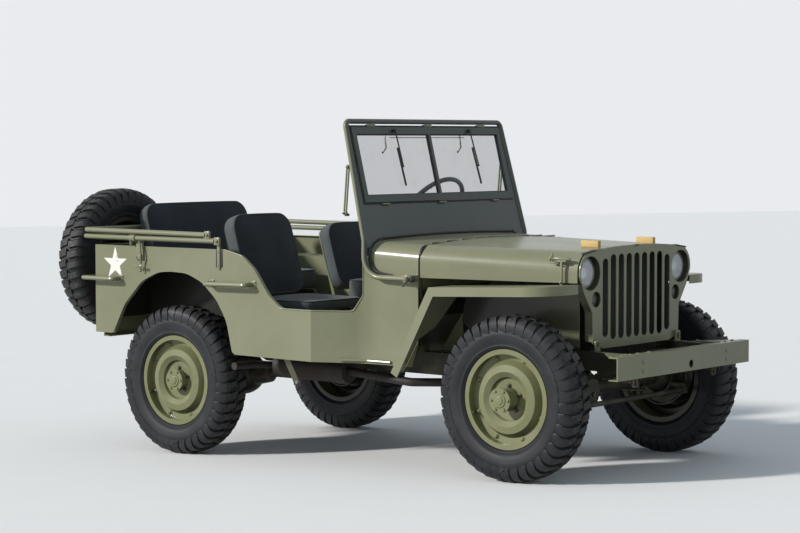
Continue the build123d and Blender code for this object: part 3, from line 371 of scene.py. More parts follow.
# Each pair is the fresh tone and the faded one
BODY_TONES = (0.182, 0.190, 0.112), (0.218, 0.226, 0.145)
WHEEL_TONES = (0.155, 0.165, 0.075), (0.185, 0.193, 0.095)
# The sash tones are the body's green darkened as painted shade
SHADED_SASH_TONES = (0.115, 0.122, 0.078), (0.140, 0.146, 0.098)
# The chassis tones are the body's green darkened as painted shade, for the underside, spare wheel and lamp
# wells
SHADED_CHASSIS_TONES = (0.042, 0.043, 0.029), (0.060, 0.058, 0.042)
body_paint = green_paint("body_paint", *BODY_TONES, 0.42, 0.5, deep_shade="cowl")
chassis_paint = green_paint("chassis_paint", *SHADED_CHASSIS_TONES, 0.0, 0.8)
wheel_paint = green_paint("wheel_paint", *WHEEL_TONES, 0.4, 0.4)
right_wheel_paint = green_paint("right_wheel_paint", *WHEEL_TONES, 0.4, 0.4, deep_shade="right wheels")
left_wheel_paint = green_paint("left_wheel_paint", *WHEEL_TONES, 0.4, 0.4, deep_shade="left wheels")
arch_paint = green_paint("arch_paint", *BODY_TONES, 0.1, 0.8, deep_shade="wheelhouses")
fender_paint = green_paint("fender_paint", *BODY_TONES, 0.42, 0.5, deep_shade="fenders")
sash_paint = green_paint("sash_paint", *SHADED_SASH_TONES, 0.3, 0.4, forward_shade=(0.062, 0.078, 0.078))
screen_paint = green_paint("screen_paint", *BODY_TONES, 0.42, 0.5, forward_shade=(0.066, 0.082, 0.080))
print("paints:", body_paint.name, chassis_paint.name, wheel_paint.name)

# %% [markdown]
# Rubber is nearly black, but a washed tyre has a blue-grey bloom, and the tread is dustier than the wall.
# The tyre pieces carry their own number for this, called tread, which is 1 on the crown and 0 below.

# %% Rubber
rubber = Finish("tyre_rubber", Specular_IOR_Level=0.26)
tread = rubber.node("ShaderNodeAttribute", {"attribute_name": "tread"}, output=2)
bloom = rubber.ease(rubber.noise(9.0, 5.0), 0.3, 0.75)
tone = rubber.mix(bloom * 0.7, (0.013, 0.014, 0.017), (0.026, 0.028, 0.034))
scuffed = tread * rubber.ease(rubber.noise(55.0, 4.0), 0.35, 0.65)
tone = rubber.mix(scuffed * 0.55, tone, (0.085, 0.083, 0.074))
rubber.wear(Base_Color=tone, Roughness=0.44 + 0.12 * bloom + 0.25 * scuffed,
            Normal=rubber.bump(rubber.noise(260.0, 3.0), 0.18, 0.002))

black_rubber = Finish("black_rubber", Specular_IOR_Level=0.4)
grey = black_rubber.mix(black_rubber.noise(30.0), (0.016, 0.016, 0.017), (0.032, 0.032, 0.033))
black_rubber.wear(Base_Color=grey, Roughness=0.55 + 0.2 * black_rubber.noise(80.0))
print("rubber ready")

# %% [markdown]
# Seat canvas is a plain weave whose threads cross every 1.2 mm. The product of two sines on each pair of
# axes gives that weave on any surface, whichever way it faces. The canvas comes as two copies of one cloth,
# a dark one with painted shade and a light one with painted light, so the weave comes from one function and
# each copy adds its own colours.

# %% Canvas
THREAD = 2 * pi / 0.0024


def woven(name, shine):
    """A cloth finish with its threads as bumps, and the weave for its colours."""
    cloth = Finish(name, Specular_IOR_Level=shine, Sheen_Weight=0.15, Sheen_Roughness=0.45)
    wx, wy, wz = [(axis * THREAD).sine() for axis in cloth.parts(cloth.place())]
    weave = wx * wy + wy * wz + wz * wx
    cloth.wear(Normal=cloth.bump(weave * 0.5 + cloth.noise(35.0, 3.0), 0.35, 0.0012))
    return cloth, weave


# The dark copy of the canvas, with painted shade for faces in shadow
shaded_canvas, weave = woven("seat_canvas", 0.12)
patchy = shaded_canvas.ease(shaded_canvas.noise(6.0, 4.0), 0.3, 0.7)
cloth = shaded_canvas.mix(patchy, (0.030, 0.035, 0.044), (0.046, 0.053, 0.063))
cloth = shaded_canvas.mix(shaded_canvas.ease(weave, 0.2, 1.6) * 0.3, cloth, (0.095, 0.105, 0.118))
shaded_canvas.wear(Base_Color=cloth, Roughness=0.78 + 0.1 * patchy)

# The light copy of the same canvas, with painted light for sunlit faces
lit_canvas, weave = woven("lit_seat_canvas", 0.2)
cloth = lit_canvas.mix(lit_canvas.noise(7.0, 4.0), (0.075, 0.088, 0.092), (0.10, 0.113, 0.115))
lit_canvas.wear(Base_Color=cloth, Roughness=0.82 + 0.05 * weave)
print("canvas ready")

# %% [markdown]
# Glass shows mostly by what it reflects. Its alpha rises towards the edge of view, where a pane mirrors
# more, so the panes stay clear from the front. The lamp lens is the same glass over fine upright flutes.


# %% Glass and lenses
def clear_glass(name, tint, least, flutes=0.0):
    glass = Finish(name, Roughness=0.04, Specular_IOR_Level=0.7)
    edge = glass.node("ShaderNodeLayerWeight", {}, {"Blend": 0.32}, 0)
    streak = glass.ease(glass.noise(14.0, 5.0), 0.5, 0.8)
    glass.wear(Base_Color=glass.mix(streak * 0.5, tint, [c + 0.08 for c in tint]),
               Alpha=least + 0.30 * edge + 0.03 * streak)
    if flutes:
        across = glass.parts(glass.place())[1]
        glass.wear(Normal=glass.bump((across * (2 * pi / flutes)).sine(), 0.5, 0.0015))
    return glass.material


screen_glass = clear_glass("screen_glass", (0.10, 0.115, 0.12), 0.06)
# The lamp lens's pale tint is painted reflection, which makes the lamp look silvery
lens_glass = clear_glass("lamp_lens", (0.86, 0.89, 0.94), 0.30, flutes=0.009)
grey_glass = clear_glass("marker_lens", (0.22, 0.24, 0.27), 0.75, flutes=0.004)
red_glass = clear_glass("tail_lens", (0.33, 0.012, 0.01), 0.85, flutes=0.004)
print("glass ready")

# %% [markdown]
# The bare metals come next. A lamp's mirror is bright, engine iron is dark and oily, and old steel is
# browned where it is handled least. Plastic is the same recipe without the metal.

# %% Metals and plastic
mirror = Finish("lamp_mirror", Metallic=1.0)
mirror.wear(Base_Color=mirror.mix(mirror.noise(20.0), (0.90, 0.92, 0.94), (0.82, 0.84, 0.87)),
            Roughness=0.06 + 0.04 * mirror.noise(60.0))


def metal(name, tone, worn, rough, shine=0.8):
    made = Finish(name, Metallic=shine)
    patch = made.ease(made.noise(24.0, 5.0), 0.38, 0.68)
    made.wear(Base_Color=made.mix(patch, tone, worn), Roughness=rough + 0.2 * patch,
              Normal=made.bump(made.noise(180.0, 3.0), 0.2, 0.001))
    return made.material


engine_iron = metal("engine_iron", (0.075, 0.078, 0.072), (0.045, 0.042, 0.036), 0.5, 0.35)
bare_steel = metal("bare_steel", (0.36, 0.36, 0.35), (0.22, 0.20, 0.17), 0.35)
dark_steel = metal("dark_steel", (0.055, 0.055, 0.05), (0.085, 0.075, 0.06), 0.45, 0.6)
exhaust_steel = metal("exhaust_steel", (0.020, 0.019, 0.018), (0.042, 0.029, 0.021), 0.6, 0.3)
plastic = metal("black_plastic", (0.018, 0.018, 0.019), (0.03, 0.03, 0.03), 0.3, 0.0)
rim_plastic = metal("rim_plastic", (0.014, 0.018, 0.029), (0.019, 0.024, 0.035), 0.3, 0.0)
print("metals and plastic ready")

# %% [markdown]
# Wood blocks on the hood keep the folded windshield off the paint, and their noise is stretched into grain.
# The stars' paint is chipped in spots. The radiator's core is rows of fins, which two sines give as bumps,
# and the gaps between them are painted darker as shade.

# %% Wood, star paint and radiator core
wood = Finish("block_wood")
grain = wood.noise(1.0, 5.0, wood.stretched((220.0, 9.0, 220.0)))
board = wood.mix(wood.ease(grain, 0.35, 0.7), (0.66, 0.46, 0.18), (0.50, 0.33, 0.13))
wood.wear(Base_Color=board, Roughness=0.6 + 0.15 * grain, Normal=wood.bump(grain, 0.3, 0.0008))

white_paint = Finish("star_white")
chips = white_paint.ease(white_paint.noise(75.0, 6.0), 0.60, 0.68)
white_paint.wear(Base_Color=white_paint.mix(chips * 0.7, (0.78, 0.78, 0.74), (0.30, 0.31, 0.20)),
                 Roughness=0.5 + 0.1 * chips)

core = Finish("radiator_core", Metallic=0.3)
across, up = core.parts(core.place())[1:]
fins = (up * (2 * pi / 0.0032)).sine() * 0.5 + (across * (2 * pi / 0.011)).sine()
# The gaps between the fins are painted darker as shade
core.wear(Base_Color=core.mix(core.ease(fins, -1.0, 1.2), (0.012, 0.012, 0.011), (0.05, 0.05, 0.045)),
          Roughness=0.55 + 0.1 * core.noise(40.0), Normal=core.bump(fins, 0.8, 0.003))
print("hard finishes ready")

# %% [markdown]
# Each part of the drawn frame now takes its finish. The table says which finish goes on which parts, and
# the check after it makes sure that no part is left plain.

# %% Finishes for the drawn parts
finish_of = {
    body_paint: ["body_side_right", "body_side_left", "rear_panel", "floor_pan",
                 "toolbox_lid_right", "toolbox_lid_left", "cowl", "glovebox_door", "hood_panel",
                 "radiator_grille", "windshield_pivots", "grab_handles", "top_bows", "passenger_seat_frame",
                 "seat_frames", "front_bumper", "rear_bumperettes", "fuel_tank", "spare_carrier"],
    arch_paint: ["wheelhouses"],
    fender_paint: ["front_fender_right", "front_fender_left"],
    screen_paint: ["windshield_frame"],
    sash_paint: ["windshield_sash"],
    chassis_paint: ["chassis_frame", "leaf_springs", "front_axle", "rear_axle", "knuckle_left",
                    "knuckle_right", "tie_rod", "shock_absorbers", "propeller_shafts", "spare_wheel"],
    right_wheel_paint: ["wheel_front_right", "wheel_rear_right"],
    left_wheel_paint: ["wheel_front_left", "wheel_rear_left"],
    rubber.material: ["tyre_front_right", "tyre_front_left", "tyre_rear_right", "tyre_rear_left",
                      "spare_tyre"],
    shaded_canvas.material: ["passenger_seat_pads", "driver_seat_pads", "rear_seat_pads"],
    mirror.material: ["lamps"],
    screen_glass: ["windshield_glass"],
    wood.material: ["hood_blocks"],
    engine_iron: ["engine_and_gearbox"],
    exhaust_steel: ["exhaust"],
    core.material: ["radiator"],
    black_rubber.material: ["wipers"],
    dark_steel: ["steering_column"],
    rim_plastic: ["steering_wheel"],
}
for finish, names in finish_of.items():
    for name in names:
        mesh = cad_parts[name].data
        mesh.materials.clear()
        mesh.materials.append(finish)
plain = set(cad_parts) - {name for names in finish_of.values() for name in names}
print("parts left plain:", sorted(plain))

# %% [markdown]

# %% [markdown]
# ## Shapes
# Most small pieces of a car are turned, bent or pressed. Each helper below adds one such shape to a bmesh
# in millimetres. The first two are a round bar with broken rims and a block with eased edges, because no
# real edge is sharp and a thin bevel catches the light.

# %% Bars and blocks
AHEAD, BACK, OUTBOARD, TO_RIGHT = (1, 0, 0), (-1, 0, 0), (0, 1, 0), (0, -1, 0)
UP, DOWN = (0, 0, 1), (0, 0, -1)


def from_to(start, end):
    """Stands +Z up along the line from start to end."""
    start, end = Vector(start), Vector(end)
    return Matrix.Translation(start) @ (end - start).to_track_quat("Z", "Y").to_matrix().to_4x4()


def ease_edges(bm, edges, width, segments=2):
    if width:
        bmesh.ops.bevel(bm, geom=list(edges), offset=width, offset_type="OFFSET", segments=segments,
                        profile=0.5, affect="EDGES", material=-1, clamp_overlap=True)


def bar(bm, start, end, radius, tip=None, sides=20, edge=0.8):
    """A round bar, or a cone where tip is given."""
    length = (Vector(end) - Vector(start)).length
    tip = radius if tip is None else tip
    stand = from_to(start, end) @ Matrix.Translation((0, 0, length / 2))
    made = bmesh.ops.create_cone(bm, cap_ends=True, segments=sides, radius1=radius, radius2=tip, depth=length,
                                 matrix=stand)
    rims = {e for v in made["verts"] for e in v.link_edges if any(len(f.verts) > 4 for f in e.link_faces)}
    ease_edges(bm, rims, min(edge, radius * 0.3))


def block(bm, low, high, edge=1.5, turn=None):
    """A block between two corners with eased edges. turn is a matrix about its middle."""
    low, high = Vector(low), Vector(high)
    stand = Matrix.Translation((low + high) / 2) @ (turn or Matrix()) @ Matrix.Diagonal((*(high - low), 1))
    made = bmesh.ops.create_cube(bm, size=1, matrix=stand)
    ease_edges(bm, {e for v in made["verts"] for e in v.link_edges}, edge)


print("bars and blocks ready")

# %% [markdown]
# Whatever a lathe makes is an outline spun round an axis: tyres, lamp bowls, rivet heads. A nut is a
# washer, a hexagon and the end of its bolt.


# %% Turned shapes, nuts and domes
def turned(bm, outline, centre=(0, 0, 0), axis=OUTBOARD, steps=48, closed=True):
    """Spins an outline of (radius, distance along the axis) points."""
    centre, axis = Vector(centre), Vector(axis)
    stand = from_to(centre, centre + axis)
    verts = [bm.verts.new(stand @ Vector((radius, 0, along))) for radius, along in outline]
    pairs = list(zip(verts, verts[1:])) + ([(verts[-1], verts[0])] if closed else [])
    edges = [bm.edges.new(pair) for pair in pairs]
    bmesh.ops.spin(bm, geom=verts + edges, cent=centre, axis=axis, dvec=(0, 0, 0), angle=2 * pi, steps=steps,
                   use_merge=True, use_duplicate=False)


def nut(bm, centre, axis, width=19, height=9):
    """A hexagon nut with a washer and the end of its bolt."""
    centre, axis = Vector(centre), Vector(axis).normalized()
    bar(bm, centre, centre + axis * 1.6, width * 0.68, sides=20, edge=0.3)
    bar(bm, centre + axis * 1.2, centre + axis * height, width / 2 * 1.1, sides=6, edge=0.9)
    bar(bm, centre, centre + axis * (height + 3.5), width * 0.27, sides=12, edge=0.5)


def dome(bm, centre, axis, radius, height):
    """A low round bolt or rivet head."""
    outline = [(0, height), (radius * 0.45, height * 0.9), (radius * 0.8, height * 0.55), (radius, 0),
               (0, -1)]
    turned(bm, outline, centre, axis, steps=16, closed=False)


print("turned shapes ready")

# %% [markdown]
# A bent tube follows a curve with a round section. Three control points at each corner keep its bend short
# and its runs straight, as a tube bender does.


# %% Bent tubes
def bent_tube(bm, points, radius, bend=0.0, closed=False, sides=3):
    """A tube along a line of points. bend is how far from each corner its curve starts."""
    line = bpy.data.curves.new("line", "CURVE")
    line.dimensions, line.bevel_depth, line.bevel_resolution, line.use_fill_caps = "3D", radius, sides, True
    line.resolution_u = 8
    points = [Vector(p) for p in points]
    path = [points[0]]
    for before, corner, after in zip(points, points[1:], points[2:]):
        near = (before - corner).normalized() * min(bend, (before - corner).length * 0.49)
        far = (after - corner).normalized() * min(bend, (after - corner).length * 0.49)
        path += [corner + near, corner, corner + far] if bend else [corner]
    path.append(points[-1])
    if closed:
        path = points
    spline = line.splines.new("NURBS")
    spline.points.add(len(path) - 1)
    for point, spot in zip(spline.points, path):
        point.co = (*spot, 1)
    spline.order_u, spline.use_endpoint_u, spline.use_cyclic_u = 3, not closed, closed
    holder = bpy.data.objects.new("line", line)
    mesh = bpy.data.meshes.new_from_object(holder)
    bm.from_mesh(mesh)
    bpy.data.objects.remove(holder)
    bpy.data.curves.remove(line)
    bpy.data.meshes.remove(mesh)


print("bent tubes ready")

# %% [markdown]
# A shape becomes a piece when its seams are closed, its faces look outwards, it stands in its place and it
# rides on a body. Much of a car is the same on both sides, so a piece can be mirrored on the way.


# %% From shape to piece
def shapes(count):
    return [bmesh.new() for _ in range(count)]


def piece(name, bm, finish, body="car", place=ON_BODY, both=False, sharp=34):
    """Closes a shape, moves it to its place, and lets it ride on a body. both adds the other side's copy."""
    if both:
        bmesh.ops.mirror(bm, geom=bm.verts[:] + bm.edges[:] + bm.faces[:], matrix=Matrix(), merge_dist=0.001,
                         axis="Y")
    bmesh.ops.remove_doubles(bm, verts=bm.verts[:], dist=0.01)
    bmesh.ops.recalc_face_normals(bm, faces=bm.faces[:])
    bmesh.ops.transform(bm, matrix=place, verts=bm.verts[:])
    mesh = bpy.data.meshes.new(name)
    bm.to_mesh(mesh)
    bm.free()
    mesh.materials.append(finish)
    mesh.shade_smooth()
    mesh.set_sharp_from_angle(angle=radians(sharp))
    made = bpy.data.objects.new(name, mesh)
    bpy.context.scene.collection.objects.link(made)
    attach(made, body)
    print(name, "faces:", len(mesh.polygons))
    return made


print("pieces ready")

# %% [markdown]
# ## Tyres
# The tyre is the tall bar-tread kind. Chunky lugs sit on both shoulders, half a step apart, each a broad
# bar that runs up the side wall, over the shoulder and hooks round towards the middle of the crown. The
# wall below is smooth. A few stations across the tyre hold its outline and the size of a lug there.

# %% Tyre shape
LUGS = 42
TYRE_RADIUS = 368
# The tread number rises from this radius, over this depth
TREAD_FROM, TREAD_DEPTH = 340, 26
# Stations across the tyre, from the side wall to the middle: distance outboard, radius
LUG_TOP = [(82.2, 297), (82.8, 312), (81.6, 330), (77, 346), (68, 357.5), (54, 364.3), (34, 367.4),
           (5, TYRE_RADIUS)]
LUG_ROOT = [(78, 294), (77, 310), (74, 326), (67, 338), (57, 346), (44, 350), (28, 352), (4, 352.5)]
# At the same stations: the lug's share of one step, and how far in millimetres its hook swings round
LUG_SHARE = [0.95, 0.94, 0.90, 0.82, 0.72, 0.66, 0.64, 0.60]
LUG_HOOK = [0, 0, 0.5, 2, 5, 9, 15, 22]
# Half of the carcass: radius, distance outboard
CARCASS = [(206, 52), (222, 57), (226, 66), (231, 70.5), (236, 73.5), (238, 76), (242, 75), (252, 78),
           (266, 80.6), (280, 82), (291, 82.6), (294, 81.8), (312, 80.8), (328, 77.5), (341, 71),
           (349.5, 60.5), (353.5, 47), (355.3, 30), (356, 10)]


def between(stations, share):
    """The value at a share of the way along a row of stations."""
    spot = share * (len(stations) - 1)
    index = min(int(spot), len(stations) - 2)
    first, second, part = stations[index], stations[index + 1], spot - index
    if isinstance(first, tuple):
        return [a + (b - a) * part for a, b in zip(first, second)]
    return first + (second - first) * part


print("stations across a lug:", len(LUG_TOP))

# %% [markdown]
# One lug starts as a grid that is pushed into a slab, and each of its points is then laid along the
# shoulder, so that a lug follows the tyre's curve. The carcass is spun from its outline.


# %% Lugs on a carcass
def lug(bm, turn, side):
    """One bar of the tread, at an angle round the wheel, on one side of it."""
    made = bmesh.ops.create_grid(bm, x_segments=10, y_segments=2, size=0.5)
    top = list({f for v in made["verts"] for f in v.link_faces})
    slab = bmesh.ops.extrude_face_region(bm, geom=top)["geom"]
    raised = [g for g in slab if isinstance(g, bmesh.types.BMVert)]
    bmesh.ops.translate(bm, vec=(0, 0, 1), verts=raised)
    upper = {f for f in slab if isinstance(f, bmesh.types.BMFace)}
    rim = {e for f in upper for e in f.edges if sum(g in upper for g in e.link_faces) == 1}
    for v in set(made["verts"]) | set(raised):
        share, across, lift = v.co.x + 0.5, v.co.y, v.co.z
        high, low = between(LUG_TOP, share), between(LUG_ROOT, share)
        out, radius = [b + (a - b) * lift for a, b in zip(high, low)]
        width = 2 * pi / LUGS * between(LUG_SHARE, share) * (1.0 if lift else 1.06)
        angle = turn + side * between(LUG_HOOK, share) / TYRE_RADIUS + across * width
        v.co = (radius * sin(angle), side * out, radius * cos(angle))
    ease_edges(bm, rim, 2.2)


def tyre_shape():
    """The whole tyre about the Y axis, with the tread number on its points."""
    bm = bmesh.new()
    turned(bm, CARCASS + [(radius, -out) for radius, out in CARCASS[::-1]], steps=LUGS * 3)
    for i in range(LUGS):
        lug(bm, 2 * pi * i / LUGS, 1)
        lug(bm, 2 * pi * (i + 0.5) / LUGS, -1)
    mark = bm.verts.layers.float.new("tread")
    for v in bm.verts:
        reach = hypot(v.co.x, v.co.z)
        v[mark] = max(0.0, min(1.0, (reach - TREAD_FROM) / TREAD_DEPTH))
    return bm


pattern_tyre = tyre_shape()
print("tyre faces:", len(pattern_tyre.faces))

# %% [markdown]
# The five tyres are the same, so the shape is copied. A wheel's place is the middle of its drawn tyre,
# turned so that the outboard side faces out. Each copy replaces the plain tyre of the frame.

# %% Tyres in place
CORNERS = [("front_right", -1), ("front_left", 1), ("rear_right", -1), ("rear_left", 1)]


def wheel_place(corner, side):
    """The matrix from a wheel's own millimetres, outboard along +Y, to the car."""
    middle = middle_of("tyre_" + corner)
    turn = Matrix.Rotation(0 if side > 0 else pi, 4, "Z")
    return Matrix.Translation(middle) @ turn @ Matrix.Scale(0.001, 4)


SPARE_PLACE = ON_BODY @ Matrix.Translation((-1745, -382, 909)) @ Matrix.Rotation(pi / 2, 4, "Z")
for corner, side in CORNERS:
    made = piece("treaded_tyre_" + corner, pattern_tyre.copy(), rubber.material, corner + "_wheel",
                 wheel_place(corner, side))
    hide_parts("tyre_" + corner)
made = piece("treaded_tyre_spare", pattern_tyre.copy(), rubber.material, place=SPARE_PLACE)
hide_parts("spare_tyre")
pattern_tyre.free()

# %% [markdown]
# The wheel is a two-part rim: domed bolts all round hold its halves, five nuts hold it to the hub, and
# six bolts hold the flange that drives it. A valve stem stands up from the flat ring.


# %% Nuts, rim bolts and valves
def outboard(spot, along):
    """A point moved along the wheel's axis."""
    return Vector(spot) + Vector((0, along, 0))


def around(bm, count, radius, out, start, make):
    """Calls make at each of count places round the wheel's axis."""
    for i in range(count):
        angle = start + 2 * pi * i / count
        make(bm, (radius * sin(angle), out, radius * cos(angle)))


def rim_bolt(bm, spot):
    bar(bm, spot, outboard(spot, 2), 13, edge=0.5)
    dome(bm, outboard(spot, 1.5), OUTBOARD, 10, 8)


def hub_nut(bm, spot):
    bar(bm, outboard(spot, -6), outboard(spot, 3), 14, tip=10.5, edge=0.5)
    nut(bm, outboard(spot, 1), OUTBOARD, 19, 11)


def flange_bolt(bm, spot):
    bar(bm, spot, outboard(spot, 6), 6.6, sides=6, edge=0.6)


def valve(bm, angle):
    foot = Vector((189 * sin(angle), 26, 189 * cos(angle)))
    bar(bm, foot, outboard(foot, 14), 6.5, tip=5)
    bar(bm, outboard(foot, 13), outboard(foot, 34), 3.6, edge=0.4)
    bar(bm, outboard(foot, 30), outboard(foot, 42), 4.8, tip=4.2, sides=12)


print("wheel hardware ready")

# %% [markdown]
# The spare has no hub, so it has no flange bolts, and only the three nuts of its carrier. The front hubs
# stand out further than the rear ones, because their drive goes through the turning hub.

# %% Five dressed wheels
FRONT_NOSE, REAR_NOSE = 112, 78


def dress_wheel(name, body, place, nuts, seat, valve_angle, nose=None):
    """seat is how far out the nuts sit, and nose how far out the drive flange stands."""
    bolts, hub = shapes(2)
    around(bolts, 8, 186, 28.5, radians(20), rim_bolt)
    if nose:
        around(bolts, 6, 45, nose - 4.5, radians(30), flange_bolt)
        bar(bolts, (0, nose - 1, 0), (0, nose + 3, 0), 20, edge=1.2)
    around(hub, nuts, 61, seat, 0, hub_nut)
    valve(hub, radians(valve_angle))
    piece("rim_bolts_" + name, bolts, wheel_paint, body, place)
    piece("wheel_nuts_" + name, hub, dark_steel, body, place)


for corner, side in CORNERS:
    nose = FRONT_NOSE if "front" in corner else REAR_NOSE
    dress_wheel(corner, corner + "_wheel", wheel_place(corner, side), 5, 26, -110 * side, nose)
dress_wheel("spare", "car", SPARE_PLACE, 3, 36, 40)

# %% [markdown]
# ## Lamps
# A headlamp is a steel bowl with a bright mirror inside, a small bulb, and a domed lens held by a rim. It
# looks out through a round hole, from a well behind the grille that is painted dark as shade. Marker lamps
# sit below in small wells of their own, painted dark the same way, and tail lamps at the back. Two black
# sheets beside the radiator fill the outer slots as painted shade.

# %% Lamp outlines
# Each outline is turned about its lamp's axis: radius, distance ahead of the lamp's middle
BOWL = [(70, 6), (70, -10), (66, -36), (44, -74), (0, -86), (0, -82), (41, -70), (62, -35), (65, -8), (64, 6)]
BEZEL = [(71.5, -4), (71.5, 6), (68.5, 9), (64, 9), (64, 5), (67, 3)]
HEAD_WELL = [(75.6, -6), (75.6, 30), (74, 30), (74, -3), (71, -3), (71, -6)]
DISH = [(64, 3), (56, -21), (40, -42), (21, -56), (6, -60), (6, -62), (23, -58), (42, -44), (58, -22),
        (65, 1)]
HEAD_LENS = [(65, 4), (58, 10.5), (46, 16), (31, 20), (16, 22.5), (0, 23), (0, 20.5), (16, 20), (31, 17.5),
             (46, 13.5), (58, 8), (65, 2)]
MARKER_BODY = [(32, -2), (32, 5), (28.5, 9), (24, 9), (24, 6), (27, 2), (27, -38), (0, -50), (0, -46),
               (25, -36)]
MARKER_LENS = [(25, 4), (20, 10), (10, 13.5), (0, 14.5), (0, 12), (12, 10), (22, 4)]
MARKER_WELL = [(34.7, -4), (34.7, 24), (33.4, 24), (33.4, -2), (31.5, -2), (31.5, -4)]
TAIL_BODY = [(40, 0), (40, -30), (37, -34), (33, -34), (33, -28), (0, -28), (0, 0)]
TAIL_LENS = [(33, -27), (33, -32), (28, -38), (16, -42), (0, -43), (0, -27)]
REFLECTOR_BODY = [(31, 0), (31, -6), (27, -8), (24, -6), (0, -5), (0, 0)]
REFLECTOR = [(25, -5), (24, -9), (12, -11), (0, -11.5), (0, -5)]
print("deepest point of a headlamp, mm:", min(along for radius, along in BOWL))

# %% [markdown]
# Each outline now spins about its own lamp, first on the right and then on the left. Shapes that share a
# finish go into one piece.

# %% Headlamps, markers and tail lamps
LAMP_X, LAMP_Y, LAMP_Z = 1205, 372, 942
MARKER_X, MARKER_Y, MARKER_Z = 1212, 328, 824
REAR_X, REAR_Z, TAIL_Y, REFLECTOR_Y = -1553, 700, 560, 655
bowls, mirrors, lenses, wells, small, markers, red = shapes(7)
for side in (-1, 1):
    head, marker = (LAMP_X, side * LAMP_Y, LAMP_Z), (MARKER_X, side * MARKER_Y, MARKER_Z)
    tail, reflector = (REAR_X, side * TAIL_Y, REAR_Z), (REAR_X, side * REFLECTOR_Y, REAR_Z)
    for shape, outline, spot in ((bowls, BOWL, head), (bowls, BEZEL, head), (wells, HEAD_WELL, head),
                                 (mirrors, DISH, head), (small, MARKER_BODY, marker),
                                 (markers, MARKER_LENS, marker), (wells, MARKER_WELL, marker),
                                 (small, TAIL_BODY, tail), (red, TAIL_LENS, tail),
                                 (small, REFLECTOR_BODY, reflector), (red, REFLECTOR, reflector)):
        turned(shape, outline, spot, AHEAD)
    turned(lenses, HEAD_LENS, head, AHEAD, steps=64)
    bulb = Vector(head) + Vector((-38, 0, 0))
    bar(mirrors, Vector(head) + Vector((-60, 0, 0)), bulb, 7, edge=2)
    dome(mirrors, bulb, AHEAD, 9, 14)
made = piece("lamp_bowls", bowls, body_paint)
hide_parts("lamps")
# Two black sheets beside the radiator, painted shade for the grille's outer slots
shade_sheets = bmesh.new()
block(shade_sheets, (1172, -276, 608), (1235, -272, 1022), 1)
# The lamp wells take the dark chassis green as painted shade
for name, shape, finish in (("lamp_mirrors", mirrors, mirror.material), ("lamp_lenses", lenses, lens_glass),
                            ("lamp_wells", wells, chassis_paint), ("small_lamps", small, body_paint),
                            ("marker_lenses", markers, grey_glass), ("tail_lenses", red, red_glass)):
    piece(name, shape, finish)
piece("radiator_shade_sheets", shade_sheets, black_rubber.material, both=True)

# %% [markdown]
# ## Seats
# The cushions are canvas covers over firm stuffing: flat fronts that crown a little, painted darker as shade
# on the backs, sides painted lighter as sunlit, and a seam at each edge. A cover like that is a job for
# cloth.
# Each pad starts as a slightly small box with round corners, is remeshed evenly, and a gentle pressure swells
# it while the seams and the resting side stay put. A cap on how far a point may travel keeps it inside its
# place on the seat.

# %% The box of a pad
CLOTH_FRAMES = 20
PRESSURE = 14
# How near an edge, and how near the underside of a cushion that rests on its seat, a point stays put
SEAM, RESTING = 10.5, 5
# The round of a pad's edges, how far in from its edges the piping runs, and the piping's radius
ROUND, PIPING_IN, PIPING = 14.0, 3.6, 2.4


def edge_distance(x, y, half_x, half_y, corner):
    """How far inside a round-cornered outline a point is. It is negative outside."""
    qx, qy = abs(x) - (half_x - corner), abs(y) - (half_y - corner)
    return corner - hypot(max(qx, 0), max(qy, 0)) - min(max(qx, qy), 0)


def evaluated(holder):
    """The mesh that an object's modifiers give."""
    graph = bpy.context.evaluated_depsgraph_get()
    return bpy.data.meshes.new_from_object(holder.evaluated_get(graph))


def pad_box(length, width, thick, corner):
    """A round-cornered slab in millimetres, its faces looking up and down Z."""
    bm = bmesh.new()
    bmesh.ops.create_cube(bm, size=1, matrix=Matrix.Diagonal((length, width, thick, 1)))
    ease_edges(bm, [e for e in bm.edges if abs(e.verts[0].co.z - e.verts[1].co.z) > 1], corner, 8)
    ease_edges(bm, [e for e in bm.edges if any(len(f.verts) > 4 for f in e.link_faces)], ROUND, 4)
    return bm


print("pad boxes ready, round of their edges, mm:", ROUND)

# %% [markdown]
# Blender's cloth solver does the swelling. Points near a seam are held, and the others drift out under
# pressure for a few frames. Whatever went further than the cap is pulled back to it.


# %% Swelling
def swell(mesh, size, corner, travel, rests):
    """Puffs a pad by cloth pressure, in metres. Seams, and the underside where it rests, stay put."""
    holder = bpy.data.objects.new("pad_in_work", mesh)
    bpy.context.scene.collection.objects.link(holder)
    held = holder.vertex_groups.new(name="held")
    half_x, half_y, half_z = [s / 2 for s in size]
    for v in mesh.vertices:
        x, y, z = v.co * 1000
        inside = edge_distance(x, y, half_x, half_y, corner)
        on_seam = inside + (half_z - abs(z)) < SEAM
        if on_seam or (rests and z < RESTING - half_z):
            held.add([v.index], 1.0, "REPLACE")
    before = [v.co.copy() for v in mesh.vertices]
    cloth = holder.modifiers.new("swell", "CLOTH")
    cloth.settings.use_pressure = True
    cloth.settings.uniform_pressure_force = PRESSURE
    cloth.settings.effector_weights.gravity = 0
    cloth.settings.vertex_group_mass = "held"
    for frame_number in range(1, CLOTH_FRAMES + 1):
        bpy.context.scene.frame_set(frame_number)
    puffed = evaluated(holder)
    for v, start in zip(puffed.vertices, before):
        move = v.co - start
        if move.length > travel:
            v.co = start + move * (travel / move.length)
    bpy.data.objects.remove(holder)
    bpy.context.scene.frame_set(1)
    return puffed


print("cloth frames:", CLOTH_FRAMES)
